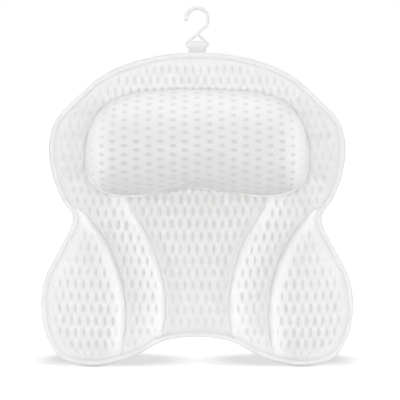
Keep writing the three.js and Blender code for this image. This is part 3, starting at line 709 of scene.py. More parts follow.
def make_pads():
    """The four coarse pad surfaces, before the cloth settles."""
    pairs = [(seam, flip(seam)) for seam in (centre_seam, wing_seam)]
    wing = joined(rim(WING_SEAM_ROW, WING_HEAD_ROW), reverse(seam_side(wing_seam, -SEAM_HALF)))
    sides = []
    for distance in (SEAM_HALF, -SEAM_HALF):
        sides.append((
            seam_side(centre_seam, distance, at_head=False),
            offset(hidden_seam, distance, closed=False),
        ))
    (foot, head), (yoke_foot, yoke_head) = sides
    centre = joined(
        foot,
        head,
        reverse(flip(head)),
        reverse(flip(foot)),
        rim(-CENTRE_SEAM_ROW, CENTRE_SEAM_ROW),
    )
    outer = seam_side(wing_seam, SEAM_HALF)
    yoke = joined(
        rim(CENTRE_SEAM_ROW, WING_SEAM_ROW),
        outer,
        rim(WING_HEAD_ROW, -WING_HEAD_ROW),
        reverse(flip(outer)),
        rim(-WING_SEAM_ROW, -CENTRE_SEAM_ROW),
        flip(yoke_foot),
        flip(yoke_head),
        reverse(yoke_head),
        reverse(yoke_foot),
    )
    crest, left_crest = ([(seam, *WING_CREST)] for seam in pairs[1])
    yoke_crests = [(seam, *YOKE_CREST) for seam in pairs[0]]
    yoke_valleys = [(seam, *YOKE_VALLEY) for seam in pairs[1]]
    centre_valleys = [(seam, *CENTRE_VALLEY) for seam in pairs[0]]
    return [
        pad_surface("right_wing_pad", wing, crest, [], **WING_SHAPE),
        pad_surface("left_wing_pad", reverse(flip(wing)), left_crest, [], **WING_SHAPE),
        pad_surface("centre_pad", centre, [], centre_valleys, **CENTRE_SHAPE),
        pad_surface("yoke_pad", yoke, yoke_crests, yoke_valleys, **YOKE_SHAPE),
    ]


# Headrest: its cloth is drawn flat and larger than the cushion, and wrapped over the edge

HEADREST_TUCK = 5.0
HEADREST_EDGE = 49.0
HEADREST_SQUARE = 2.35
HEADREST_PHASE = 272.2
SIDE_LEVEL = 18.0
FOOT_LIFT = 0.3
HEADREST_STEP = 3.4
HEADREST_SWELL, SWELL_HEIGHT = 42.0, 1.2
END_PLAINNESS = 0.75
# How strong the painted highlight on the brow, and the painted shade at the foot, are
BROW_PAINTED_HIGHLIGHT = 0.65
FOOT_PAINTED_SHADE = 0.9
SEWN_EDGE = 0.6


def headrest_profile():
    """How far out and how high the cloth is, by its distance along it from the crown's edge."""
    angle = np.linspace(0, np.pi / 2, 160)
    power = 2 / HEADREST_SQUARE
    out = np.r_[
        HEADREST_EDGE * np.sin(angle) ** power,
        HEADREST_EDGE - HEADREST_TUCK * (1 - np.cos(angle[1:])),
    ]
    up = np.r_[
        SIDE_LEVEL + (HEADREST_CROWN - SIDE_LEVEL) * np.clip(np.cos(angle), 0, 1) ** power,
        SIDE_LEVEL * (1 - np.sin(angle[1:])),
    ]
    along = np.r_[0, np.cumsum(np.hypot(np.diff(out), np.diff(up)))]
    return along, out, np.maximum(up, FOOT_LIFT)


def make_headrest():
    """The coarse headrest, with a painted highlight at the ends and the brow and painted shade at the
    foot.
    """
    along, out, up = headrest_profile()
    reach = along[-1]
    foot, brow = HEADREST_LOW[2], HEADREST_HIGH[2]
    cloth = resampled(offset(headrest_line, HEADREST_EDGE - reach), HEADREST_STEP, True)
    points, faces = fill_region(cloth, (HEADREST_WEAVE["row"] / 4, HEADREST_WEAVE["pitch"] / 3))
    gap, away = nearest(headrest_line, points, True)
    within = inside(headrest_line, points)
    outward = np.where(within[:, None], -away, away)
    distance = np.clip(HEADREST_EDGE - np.where(within, gap, -gap), 0, reach)
    moved = points + outward * (np.interp(distance, along, out) - distance)[:, None]
    aside, level = np.abs(moved[:, 0]), moved[:, 1]
    height = np.interp(distance, along, up)
    swell = unevenness(points, HEADREST_SWELL, 3.0) * SWELL_HEIGHT
    height += swell * falling(distance, 50.0, 85.0)
    ends = smoothstep(aside, 98.0, 122.0)
    relief = np.interp(level, [foot + 20.0, brow - 10.0], [1.7, 0.6])
    fade = falling(distance, reach - 15.0, reach - 7.0) * (1 - END_PLAINNESS * ends) * relief
    weave = np.column_stack([points[:, 0], points[:, 1] - HEADREST_PHASE, fade])
    # Painted highlight on the brow and the ends, and painted shade at the foot
    stretched = BROW_PAINTED_HIGHLIGHT * smoothstep(level, brow - 46.0, brow - 6.0)
    stretched = np.maximum(smoothstep(aside, 92.0, 126.0), stretched)
    dull = FOOT_PAINTED_SHADE * falling(level, foot + 8.0, foot + 60.0) * (1 - ends)
    depth = HEADREST_SEAT + height
    held = distance > reach - SEWN_EDGE
    return soft_form("headrest_cushion", moved, faces, depth, weave, held, stretched, dull)


# Cloth simulation of the coarse forms

PRESSURE = 4.0
SETTLE_FRAMES = 20
PAD_MOVE = 5.0


def settle(piece):
    """Lets a piece's cloth swell under pressure, held at its seams."""
    scene = bpy.context.scene
    start = coordinates(piece.data)
    cloth = piece.modifiers.new("cloth", "CLOTH")
    cloth.point_cache.frame_start = 1
    cloth.point_cache.frame_end = SETTLE_FRAMES
    setting = cloth.settings
    setting.quality = 5
    setting.mass = 0.02
    setting.vertex_group_mass = "held"
    setting.use_pressure = True
    setting.uniform_pressure_force = PRESSURE
    setting.shrink_min = -0.015
    setting.tension_stiffness = 12
    setting.compression_stiffness = 12
    setting.bending_stiffness = 1.5
    setting.effector_weights.gravity = 0
    cloth.collision_settings.use_collision = False
    scene.frame_start, scene.frame_end = 1, SETTLE_FRAMES
    for frame_number in range(1, SETTLE_FRAMES + 1):
        scene.frame_set(frame_number)
    apply_modifiers(piece)
    move = coordinates(piece.data) - start
    far = np.linalg.norm(move, axis=1) / MM
    limit = np.minimum(far, PAD_MOVE) / np.maximum(far, 1e-9)
    set_coordinates(piece.data, start + move * limit[:, None])
    scene.frame_set(1)


# Sweeps and turned forms

CORNER_STEPS = 4
CORNER_SHARE = 0.45
POLE_SIZE = 1e-6


def grid_faces(rows, columns, wrap_rows, wrap_columns, start=0):
    """Four-sided faces between neighbouring rows of vertices."""
    r = np.arange(rows if wrap_rows else rows - 1)
    c = np.arange(columns if wrap_columns else columns - 1)
    a, b = (index.ravel() for index in np.meshgrid(r, c, indexing="ij"))
    a2, b2 = (a + 1) % rows, (b + 1) % columns
    corners = ((a, b), (a, b2), (a2, b2), (a2, b))
    return start + np.stack([row * columns + column for row, column in corners], axis=1)


def sweep(name, path, sections):
    """A closed sweep round a path. sections holds (inwards, depth) for each point of the path."""
    count, sides, _ = sections.shape
    flat = path[:, None] + sideways(path)[:, None] * sections[..., :1]
    places = np.stack([flat[..., 0], sections[..., 1], flat[..., 1]], axis=-1)
    piece = new_object(name, to_frame(places.reshape(-1, 3)), grid_faces(count, sides, True, True))
    length = np.linalg.norm(np.diff(np.vstack([path, path[:1]]), axis=0), axis=1).sum()
    across = np.r_[0, np.cumsum(np.linalg.norm(np.diff(sections[0], axis=0), axis=1))]
    write_weave(piece, np.linspace(0, 1, count, endpoint=False) * length, across)
    edit(piece, face_outward)
    return piece


def circle(centre, radius, count):
    angle = np.linspace(0, 2 * np.pi, count, endpoint=False)
    return np.stack([centre[0] + radius * np.cos(angle), centre[1] + radius * np.sin(angle)], axis=1)


def merge_poles(work):
    bmesh.ops.remove_doubles(work, verts=work.verts[:], dist=POLE_SIZE)


def turned(name, profile, centre, segments=96, closed=False):
    """A form turned about a line straight out of the wall, from (radius, depth) points."""
    rings = [at_depth(circle(centre, radius, segments), depth) for radius, depth in profile]
    faces = grid_faces(len(rings), segments, closed, True)
    piece = new_object(name, to_frame(np.vstack(rings)), faces)
    edit(piece, merge_poles, face_outward)
    return piece


def rounded(profile, radius, closed=False):
    """A profile with its corners rounded by up to a radius."""
    p = np.array(profile, float)
    made = []
    for k, corner in enumerate(p):
        if not closed and k in (0, len(p) - 1):
            made.append(corner)
            continue
        sides = [p[k - 1] - corner, p[(k + 1) % len(p)] - corner]
        lengths = [np.linalg.norm(side) for side in sides]
        reach = min(radius, *(length * CORNER_SHARE for length in lengths))
        a, b = (corner + side / length * reach for side, length in zip(sides, lengths))
        for t in np.linspace(0, 1, CORNER_STEPS + 1):
            made.append((1 - t) ** 2 * a + 2 * t * (1 - t) * corner + t**2 * b)
    return np.array(made)


def merged(name, parts):
    """One mesh of several parts, each given by its vertices and faces."""
    vertices, faces, start = [], [], 0
    for part, made in parts:
        faces += [[start + i for i in face] for face in made]
        vertices.append(part)
        start += len(part)
    piece = new_object(name, to_frame(np.vstack(vertices)), faces)
    edit(piece, face_outward)
    return piece


# Thread

THREAD_RADIUS = 0.34
THREAD_FLATNESS = 0.8
THREAD_TIP = 0.06
STITCH_PITCH = 3.0
STITCH_LENGTH = 2.2
STITCH_RINGS, STITCH_SIDES = 5, 6


def line_of_stitches(path, depth):
    """Vertices and faces of small rounded stitches along a closed plane path, at one depth."""
    p = resampled(path, STITCH_PITCH, True)
    directions = at_depth(unit(tangent(p, True)), 0.0)
    up = np.array([0.0, 1.0, 0.0])
    t = np.linspace(-1, 1, STITCH_RINGS)
    girth = THREAD_RADIUS * np.sqrt(np.maximum(1 - t**4, THREAD_TIP))[:, None]
    angle = np.linspace(0, 2 * np.pi, STITCH_SIDES, endpoint=False)
    aside, lift = girth * np.cos(angle), girth * np.sin(angle) * THREAD_FLATNESS
    stitches = zip(at_depth(p, depth), directions, unit(np.cross(directions, up)))
    vertices, faces = [], []
    for k, (place, along, across) in enumerate(stitches):
        ring = (
            place
            + along * (t * STITCH_LENGTH / 2)[:, None, None]
            + across * aside[..., None]
            + up * lift[..., None]
        )
        start = k * STITCH_RINGS * STITCH_SIDES
        last = start + (STITCH_RINGS - 1) * STITCH_SIDES
        vertices.append(ring.reshape(-1, 3))
        faces += grid_faces(STITCH_RINGS, STITCH_SIDES, False, True, start).tolist()
        faces.append(list(range(start, start + STITCH_SIDES))[::-1])
        faces.append(list(range(last, last + STITCH_SIDES)))
    return np.vstack(vertices), faces


# Binding tape and the headrest's welt

BINDING_STEP = 0.75
STITCH_INSET = 4.9
STITCH_DENT, DENT_WIDTH = 0.22, 0.9
PUCKER = 0.10
TAPE_WAVE, BULGE_LIMIT = 0.18, 0.15
WELT_WIDTH, WELT_THICKNESS = 7.6, 2.0
WELT_STEP = 0.9
WELT_WAVE = 0.25
WELT_CORNER_GAIN, WELT_FOOT_LOSS, WELT_TOP_LOSS = 1.7, 1.6, 2.5
WELT_FOOT_LEVEL = 60.0


def binding_section():
    """The folded tape: its outer face from the front lip to the rear one, then its inner face."""
    half = (BINDING_FRONT - BINDING_REAR) / 2
    front = [
        (6.6, half - 1.55), (6.45, half - 1.2), (6.0, half - 0.72), (5.2, half - 0.3),
        (4.2, half), (3.1, half - 0.12), (2.1, half - 0.62), (1.25, half - 1.5),
        (0.6, half - 2.6), (0.15, half - 4.0), (0, half - 5.4),
    ]
    outer = front + [(i, -d) for i, d in front[-2::-1]]
    slot = half - TAPE_THICKNESS
    inner = [(6.6, -slot), (3.6, -slot), (2.1, -slot + 0.3), (1.7, -slot + 1.4)]
    inner += [(i, -d) for i, d in inner[::-1]]
    section = np.array(outer + inner)
    section[:, 1] += BINDING_MIDDLE
    return section, len(outer)


def make_binding():
    """The tape round the outline, dented along its thread and puckered at each stitch."""
    path = resampled(outline, BINDING_STEP, True)
    section, outer = binding_section()
    sections = np.repeat(section[None], len(path), axis=0)
    face = sections[:, :outer]
    phase = np.arange(len(path)) * BINDING_STEP
    puckers = np.cos(2 * np.pi * phase / STITCH_PITCH)[:, None]
    near_thread = np.exp(-(((face[..., 0] - STITCH_INSET) / DENT_WIDTH) ** 2))
    wave = unevenness(path, 23.0, 7.0)[:, None]
    dent = (STITCH_DENT + PUCKER * puckers) * near_thread - TAPE_WAVE * wave
    face[..., 1] -= np.sign(face[..., 1] - BINDING_MIDDLE) * np.maximum(dent, -BULGE_LIMIT)
    return sweep("binding_tape", path, sections)


def make_welt():
    """The sewn edge under the headrest: wide at its lower corners, narrow at its top."""
    path = resampled(offset(headrest_line, HEADREST_TUCK - 0.3), WELT_STEP, True)
    lip, top = -WELT_WIDTH, WELT_THICKNESS
    section = np.array([
        (0, 0.1), (0.1, top - 0.3), (-0.9, top - 0.1), (lip + 1.2, top),
        (lip + 0.35, top - 0.3), (lip, top * 0.5), (lip + 0.35, 0.25), (lip + 1.4, 0),
    ])
    section[:, 1] += HEADREST_SEAT
    sections = np.repeat(section[None], len(path), axis=0)
    level = path[:, 1] - HEADREST_LOW[2]
    aside = smoothstep(np.abs(path[:, 0]), 25.0, 70.0)
    corner = np.where(level < WELT_FOOT_LEVEL, aside, 1.0)
    shown = WELT_CORNER_GAIN * corner * falling(level, 10.0, WELT_FOOT_LEVEL)
    shown -= WELT_FOOT_LOSS * (1 - corner)
    shown -= WELT_TOP_LOSS * smoothstep(level, WELT_FOOT_LEVEL, 90.0)
    sections[:, 3:, 0] += (WELT_WAVE * unevenness(path, 12.0, 2.0) - shown)[:, None]
    return sweep("headrest_welt_tape", path, sections)


# Webbing loop and hook. Heights here are from the bar's axis.

BAR_LEVEL = HEIGHT + 7.4
BAR_RADIUS = 1.6
LOOP_TOP = 2.9
LOOP_BEND = 2.7
WEBBING_THICKNESS = 1.4
WEBBING_HALF, WEBBING_HALF_TOP = 10.4, 6.2
WEBBING_STEP = 0.35
WEBBING_COLUMNS = 61
RIB_PITCH, RIB_HEIGHT = 1.15, 0.055
PICK_PITCH, PICK_HEIGHT = 0.95, 0.045


def webbing_path():
    """The strap's middle line, as (depth from the bar, height), from its front foot to its rear."""
    arc = [
        (LOOP_BEND * math.cos(a), LOOP_TOP + LOOP_BEND * math.sin(a))
        for a in np.linspace(0, math.pi, 25)
    ]
    leg = [(0.72, -16.4), (0.72, -7.0), (0.8, -5.4), (1.5, -3.4), (2.4, -1.2), (LOOP_BEND, 0.6)]
    front = catmull_rom(leg, False, 8)
    return resampled(np.vstack([front, arc, flip(front[::-1])]), WEBBING_STEP)


WEBBING_LENGTH = WEBBING_STEP * len(webbing_path())


def make_webbing():
    """The folded strap, ribbed along its length and narrower at its top."""
    path = webbing_path()
    out = -sideways(path, closed=False)
    half_width = np.interp(path[:, 1], [0.0, 6.3], [WEBBING_HALF, WEBBING_HALF_TOP])
    v = np.linspace(-1, 1, WEBBING_COLUMNS)
    travel = np.arange(len(path)) * WEBBING_STEP
    flat = v * WEBBING_HALF
    ribs = np.cos(2 * np.pi * flat / RIB_PITCH)
    offbeat = 0.5 * (np.round(flat / RIB_PITCH) % 2)
    picks = np.cos(2 * np.pi * (travel[:, None] / PICK_PITCH + offbeat))
    edge = np.sqrt(np.maximum(1 - np.abs(v) ** 8, 0.04))
    rise = WEBBING_THICKNESS / 2 * edge - 0.08 + RIB_HEIGHT * ribs + PICK_HEIGHT * picks
    rows = []
    for lift in (rise, -rise):
        x = v * half_width[:, None]
        depth = BINDING_MIDDLE + path[:, :1] + out[:, :1] * lift
        z = BAR_LEVEL + path[:, 1:] + out[:, 1:] * lift
        rows.append(np.stack([x, depth, z], axis=-1))
    ring = np.concatenate([rows[0], rows[1][:, ::-1]], axis=1)
    count, sides = ring.shape[:2]
    faces = grid_faces(count, sides, False, True).tolist()
    for end in (0, (count - 1) * sides):
        for i in range(sides // 2 - 1):
            faces.append([end + k for k in (i, i + 1, sides - 2 - i, sides - 1 - i)])
    piece = new_object("hanging_webbing", to_frame(ring.reshape(-1, 3)), faces)
    write_weave(piece, travel, np.r_[flat, flat[::-1]])
    edit(piece, face_outward)
    return piece


HOOK_SIDES = 20
HOOK_VOXEL = 0.28
HOOK_STEP = 0.8
CAP_RINGS = 4
BEND_RADIUS, BEND_LEVEL, BEND_POINTS = 13.4, 32.3, 60
RING_CLEARANCE, RING_CORNER = 0.6, 2.6
BRACE_END = 14.9


def tube(p, r):
    """Vertices and faces of a round bar in the plane of the pillow, with domed ends."""
    along = unit(tangent(p, False))
    cap = np.linspace(0, np.pi / 2, CAP_RINGS + 1)[1:]
    head = p[0] - along[0] * (r[0] * np.sin(cap[::-1]))[:, None]
    tail = p[-1] + along[-1] * (r[-1] * np.sin(cap))[:, None]
    dome = np.maximum(np.cos(cap), 0.02)
    girth = np.r_[r[0] * dome[::-1], r, r[-1] * dome][:, None]
    line = np.vstack([head, p, tail])
    lead = np.pad(along, ((CAP_RINGS, CAP_RINGS), (0, 0)), "edge")
    side = np.stack([lead[:, 1], -lead[:, 0]], axis=1)
    angle = np.linspace(0, 2 * np.pi, HOOK_SIDES, endpoint=False)
    across = girth * np.cos(angle)
    x = line[:, :1] + side[:, :1] * across
    z = line[:, 1:] + side[:, 1:] * across
    ring = np.stack([x, BINDING_MIDDLE + girth * np.sin(angle), BAR_LEVEL + z], axis=-1)
    last = (len(line) - 1) * HOOK_SIDES
    faces = grid_faces(len(line), HOOK_SIDES, False, True).tolist()
    faces.append(list(range(HOOK_SIDES)))
    faces.append(list(range(last, last + HOOK_SIDES))[::-1])
    return ring.reshape(-1, 3), faces


def hook_lines():
    """The hook's bars, as points from the bar's axis and a radius at each."""
    side = WEBBING_HALF + RING_CLEARANCE + BAR_RADIUS
    bend = [
        (BEND_RADIUS * math.cos(a), BEND_LEVEL + BEND_RADIUS * math.sin(a))
        for a in np.radians(np.linspace(180, -50, BEND_POINTS))
    ]
    shares = [(0.42, 1.9), (0.08, 1.35), (0, 0.72), (0.25, 0.2), (0.8, 0)]
    turn = catmull_rom([(x * RING_CORNER - side, z * RING_CORNER) for x, z in shares], False, 5)
    other = flip(turn[::-1])
    line = resampled(np.vstack([bend, turn, other]), HOOK_STEP)
    travel = np.linspace(0, 1, len(line)) / (BEND_POINTS * 0.92 / len(line))
    radii = np.interp(travel, [0, 0.35, 0.62, 0.82, 0.95], [2.55, 2.5, 2.2, 1.85, BAR_RADIUS])
    brace = resampled(np.array([other[-1], (0, BRACE_END)]), HOOK_STEP)
    return [(line, radii), (brace, np.full(len(brace), BAR_RADIUS))]


def make_hook():
    """The hook as one smooth form, its bars merged where they meet."""
    piece = merged("hanger_hook", [tube(*bar) for bar in hook_lines()])
    remesh = piece.modifiers.new("remesh", "REMESH")
    remesh.mode = "VOXEL"
    remesh.voxel_size = HOOK_VOXEL * MM
    smooth = piece.modifiers.new("smooth", "SMOOTH")
    smooth.factor = 0.5
    smooth.iterations = 6
    apply_modifiers(piece)
    piece.data.polygons.foreach_set("use_smooth", np.ones(len(piece.data.polygons), bool))
    return piece


# Suction cups and what holds them

EYELET_SECTION = [
    (4.6, 15.0), (9.0, 15.0), (9.0, 16.2), (6.2, 16.2), (6.2, 23.5), (4.6, 23.5),
]
PATCH_SECTION = [(6.5, 16.5), (17.0, 16.5), (17.0, 17.7), (6.5, 17.7)]
PATCH_MIDDLE = 17.1
PATCH_STEP = 0.8
PATCH_STITCH_RADIUS, PATCH_STITCH_DEPTH = 15.2, 16.72
PATCH_DENT, PATCH_DENT_WIDTH = 0.25, 0.7


def cup_profile():
    """The cup from the middle of its hollow, over lip, dome, collar and neck, to its head."""
    hollow = catmull_rom([(0.01, 7.5), (12.15, 6.5), (20.5, 3.15), (24.4, 0.35)], False, 8)
    lip = [(24.9, 0.0), (26.6, 0.0), (27.0, 0.35), (26.95, 0.9), (26.3, 1.35)]
    dome = catmull_rom([(26.3, 1.35), (22.1, 5.15), (14.6, 9.75), (9.2, 11.4)], False, 8)
    stem = [
        (8.9, 11.5), (8.0, 12.0), (8.0, 14.7), (4.2, 14.7), (4.2, 23.8), (7.5, 23.8),
        (7.3, 24.4), (4.2, 27.0), (0.01, 27.0),
    ]
    return np.vstack([hollow, lip, dome[1:], rounded(stem, 0.5)])


def cup_places():
    for x, z in to_pillow(CUP_SHARES):
        yield from ((x, z), (-x, z))


def patch_mesh(name, centre):
    """A round sewn patch, its cloth pressed in along the stitches."""
    profile = rounded(PATCH_SECTION, 0.5, closed=True)
    fine = []
    for a, b in zip(profile, np.roll(profile, -1, axis=0)):
        steps = max(1, round(np.linalg.norm(b - a) / PATCH_STEP))
        fine += [a + (b - a) * k / steps for k in range(steps)]
    piece = turned(name, fine, centre, 120, closed=True)
    places = coordinates(piece.data)
    x, z = places[:, 0] / MM - centre[0], (places[:, 2] - LOWEST) / MM - centre[1]
    dent = np.exp(-(((np.hypot(x, z) - PATCH_STITCH_RADIUS) / PATCH_DENT_WIDTH) ** 2))
    rear = places[:, 1] / MM > -PATCH_MIDDLE
    places[rear, 1] -= PATCH_DENT * dent[rear] * MM
    set_coordinates(piece.data, places)
    write(piece.data, weave=np.column_stack([x, z, np.ones(len(x))]))
    return piece


# Back mesh

BACK_INSET, BACK_EDGE_STEP = 2.2, 4.0
HOLE_RADIUS, HOLE_POINTS = 6.5, 24
BACK_LIFT, BACK_SLACK, BACK_SWELL = 0.3, 0.5, 30.0


def make_back():
    """The sheet of mesh behind the pads, with a hole for each eyelet."""
    loop = resampled(offset(outline, BACK_INSET), BACK_EDGE_STEP, True)
    holes = [circle(centre, HOLE_RADIUS, HOLE_POINTS)[::-1] for centre in cup_places()]
    step = (BACK_WEAVE["pitch"] / 2, BACK_WEAVE["row"] / 3)
    points, faces = fill_region(loop, step, holes=holes)
    to_outline, _ = nearest(outline[::2], points, True)
    fade = smoothstep(to_outline, HEM_LINE + 1.0, HEM_LINE + 7.0)
    slack = np.ones(len(points))
    for x, z in cup_places():
        gap = np.hypot(points[:, 0] - x, points[:, 1] - z)
        fade *= smoothstep(gap, 16.0, 20.0)
        slack *= smoothstep(gap, 15.0, 30.0)
    sag = unevenness(points, BACK_SWELL, 9.0) * BACK_SLACK * fade * slack
    depth = BACK_REAR + BACK_LIFT - sag
    depth = np.maximum(depth, BACK_REAR)
    weave = np.column_stack([points, fade])
    none = np.zeros(len(points))
    return soft_form("back_mesh", points, faces[:, ::-1], depth, weave, none > 0, none, none)


# Materials

WHITE = (1, 1, 1, 1)


class Nodes:
    """A node tree, in which each node is made with what goes into it."""

    def __init__(self, owner):
        owner.use_nodes = True
        self.tree = owner.node_tree
        self.tree.nodes.clear()

    def fill(self, node, inputs):
        """Links an input to an output, or sets its value."""
        for socket, value in inputs.items():
            if isinstance(value, bpy.types.NodeSocket):
                self.tree.links.new(value, node.inputs[socket])
            else:
                node.inputs[socket].default_value = value

    def node(self, kind, inputs=(), **settings):
        made = self.tree.nodes.new("ShaderNode" + kind)
        for key, value in settings.items():
            setattr(made, key, value)
        self.fill(made, dict(inputs))
        return made.outputs

    def math(self, operation, a, b=0.0):
        return self.node("Math", {0: a, 1: b}, operation=operation)[0]

    def length(self, vector):
        return self.node("VectorMath", {0: vector}, operation="LENGTH")["Value"]

    def span(self, value, low, high, to_low=0.0, to_high=1.0):
        inputs = {"Value": value, 1: low, 2: high, 3: to_low, 4: to_high}
        return self.node("MapRange", inputs)[0]

    def seen(self):
        """1 for what the camera sees, also by gloss and through clear vinyl, and 0 for light."""
        path = self.node("LightPath")
        seen = self.math("MAXIMUM", path["Is Camera Ray"], path["Is Glossy Ray"])
        return self.math("MAXIMUM", seen, path["Is Transmission Ray"])


class Look(Nodes):
    """A material with one shader."""

    def __init__(self, name, **shader):
        self.material = bpy.data.materials.new(name)
        super().__init__(self.material)
        self.shader = self.tree.nodes.new("ShaderNodeBsdfPrincipled")
        self.node("OutputMaterial", {0: self.shader.outputs[0]})
        self.set(**shader)

    def set(self, **shader):
        self.fill(self.shader, {key.replace("_", " "): value for key, value in shader.items()})

    def attribute(self, name, output="Fac"):
        return self.node("Attribute", attribute_name=name)[output]

    def cloth(self):
        return self.attribute("weave", "Vector")

    def place(self, scale=1.0):
        place = self.node("TexCoord")["Object"]
        if scale == 1.0:
            return place
        return self.node("Mapping", {"Vector": place, "Scale": (scale, scale, scale)})[0]

    def wave(self, vector, direction, pitch):
        inputs = {"Vector": vector, "Scale": 2 * math.pi / (20 * pitch), "Distortion": 0.0}
        kind = {"wave_type": "BANDS", "bands_direction": direction, "wave_profile": "SIN"}
        return self.node("TexWave", inputs, **kind)["Fac"]

    def noise(self, vector, size, detail=3.0, roughness=0.5):
        inputs = {"Vector": vector, "Scale": 1 / size, "Detail": detail, "Roughness": roughness}
        return self.node("TexNoise", inputs)["Fac"]

    def cells(self, vector, size):
        return self.node("TexVoronoi", {"Vector": vector, "Scale": 1 / size})["Distance"]

    def mix(self, share, first, second):
        colours = [(*c, 1) if isinstance(c, tuple) else c for c in (first, second)]
        return self.node("Mix", {0: share, 6: colours[0], 7: colours[1]}, data_type="RGBA")[2]

    def tint(self, tone, colour, share, most):
        """A tone with a colour over it, by a share of at most so much."""
        return self.mix(self.math("MULTIPLY", share, most), tone, colour)

    def patchy(self, share, low, high, pale, darkness):
        """A colour with slow patches that are darker by a factor."""
        return self.mix(self.span(share, low, high), pale, tuple(c * darkness for c in pale))

    def bump(self, *layers):
        """Bump from (height, distance in millimetres) pairs."""
        below = {}
        for height, distance in layers:
            inputs = {"Height": height, "Distance": distance * MM, "Strength": 1.0, **below}
            below = {"Normal": self.node("Bump", inputs)["Normal"]}
        self.set(**below)


def spacer_mesh(name, pale, grey, pit, plain=None):
    """Knitted spacer mesh: fine loops, small eyes between them, and open pits and grooves with
    painted shade.

    plain is the paler white of a painted highlight.
    """
    look = Look(name, Roughness=0.82, Sheen_Weight=0.25, Sheen_Roughness=0.5)
    cloth = look.cloth()
    loops = look.cells(cloth, 0.95)
    fibre = look.noise(cloth, 0.6, 5.0, 0.7)
    tone = look.patchy(look.noise(cloth, 22.0, 4.0), 0.35, 0.68, pale, 0.965)
    # Painted highlight makes the cloth paler, and painted shade greyer, where the mesh's attributes
    # mark them
    if plain:
        tone = look.mix(look.attribute("stretched"), tone, plain)
        tone = look.mix(look.attribute("dull"), tone, grey)
    tone = look.tint(tone, grey, look.span(loops, 0.32, 0.62), 0.24)
    tone = look.tint(tone, grey, fibre, 0.10)
    # Painted shade in the grooves and, greyer still, in the open pits
    tone = look.mix(look.span(look.attribute("groove"), 0.15, 0.6, 0.0, 0.5), tone, grey)
    deep = look.span(look.attribute("opening"), 0.15, 0.9)
    look.set(Base_Color=look.mix(deep, tone, pit))
    look.set(Roughness=look.span(fibre, 0.2, 0.8, 0.72, 0.92))
    look.bump((look.span(loops, 0.1, 0.6, 1.0, 0.0), 0.12), (fibre, 0.05))
    return look.material


def ribbed_tape(name, pale, grey):
    """Woven tape with fine ribs across it, fainter cords along it and a little fuzz."""
    look = Look(name, Roughness=0.7, Sheen_Weight=0.15)
    cloth = look.cloth()
    ribs = look.wave(cloth, "X", 0.62)
    cords = look.wave(cloth, "Y", 0.9)
    fuzz = look.noise(cloth, 0.35, 5.0, 0.7)
    tone = look.patchy(look.noise(cloth, 9.0, 4.0), 0.3, 0.7, pale, 0.95)
    tone = look.tint(tone, grey, ribs, 0.10)
    look.set(Base_Color=look.tint(tone, grey, fuzz, 0.08))
    look.set(Roughness=look.span(fuzz, 0.2, 0.8, 0.6, 0.82))
    look.bump((ribs, 0.07), (cords, 0.05), (fuzz, 0.04))
    return look.material


def webbing_cloth(name, pale, grey):
    """Coarse woven webbing, with picks across and cords along, and painted shade where it leaves the
    binding.
    """
    look = Look(name, Roughness=0.68, Sheen_Weight=0.2)
    cloth = look.cloth()
    weave = look.math(
        "MULTIPLY", look.wave(cloth, "X", PICK_PITCH), look.wave(cloth, "Y", RIB_PITCH)
    )
    fuzz = look.noise(cloth, 0.3, 5.0, 0.7)
    tone = look.patchy(look.noise(cloth, 6.0), 0.3, 0.7, pale, 0.94)
    tone = look.mix(look.span(weave, 0.0, 1.0, 0.22, 0.0), tone, grey)
    tone = look.tint(tone, grey, fuzz, 0.10)
    # Painted shade at each foot of the strap, where it goes in under the binding
    travel = look.node("SeparateXYZ", {0: cloth})["X"]
    half = WEBBING_LENGTH / 2
    from_top = look.math("ABSOLUTE", look.math("SUBTRACT", travel, half))
    foot = look.span(from_top, half - 12.5, half - 9.5, 0.0, 0.6)
    look.set(Base_Color=look.mix(foot, tone, grey))
    look.set(Roughness=look.span(fuzz, 0.2, 0.8, 0.58, 0.8))
    look.bump((weave, 0.10), (fuzz, 0.04))
    return look.material


def moulded_plastic(name, pale, shade, rough):
    """Satin moulded plastic: faint flow marks, fine grain and small scuffs."""
    look = Look(name, Roughness=rough, Specular_IOR_Level=0.3)
    place = look.place(1 / MM)
    flow = look.noise(place, 6.0, 4.0, 0.55)
    grain = look.noise(place, 0.25, 3.0, 0.6)
    scuffs = look.span(look.noise(place, 1.8, 6.0, 0.75), 0.56, 0.72)
    tone = look.mix(look.span(flow, 0.3, 0.7), pale, shade)
    look.set(Base_Color=look.tint(tone, shade, scuffs, 0.15))
    look.set(Roughness=look.span(scuffs, 0.0, 1.0, rough - 0.04, rough + 0.12))
    look.bump((flow, 0.03), (grain, 0.01))
    return look.material


def cup_vinyl(name):
    """Clear vinyl, a little cloudy, with faint smears on its gloss."""
    look = Look(name, Roughness=0.2, IOR=1.5, Coat_Weight=0.2, Coat_Roughness=0.15)
    place = look.place(1 / MM)
    cloud = look.noise(place, 8.0, 4.0, 0.6)
    smear = look.noise(place, 2.4, 5.0, 0.7)
    look.set(Base_Color=look.mix(cloud, (0.84, 0.88, 0.89), (0.93, 0.95, 0.95)))
    look.set(Roughness=look.span(smear, 0.3, 0.75, 0.04, 0.12))
    look.set(Transmission_Weight=look.span(cloud, 0.3, 0.7, 0.9, 1.0))
    look.bump((cloud, 0.04), (smear, 0.002))
    return look.material


PALE = (0.835, 0.835, 0.83)
# The paler white of the painted highlight
PAINTED_HIGHLIGHT_WHITE = (0.95, 0.95, 0.945)
GREY = (0.72, 0.72, 0.715)
# Colours of the open pits: painted shade inside them
SHADED_PIT = (0.69, 0.69, 0.68)
# The headrest's white is the pads' mesh painted greyer, as shade
HEADREST_SHADED_PALE = (0.775, 0.775, 0.77)
HEADREST_SHADED_PIT = (0.67, 0.67, 0.66)
PLASTIC = ((0.82, 0.82, 0.815), (0.76, 0.76, 0.755))

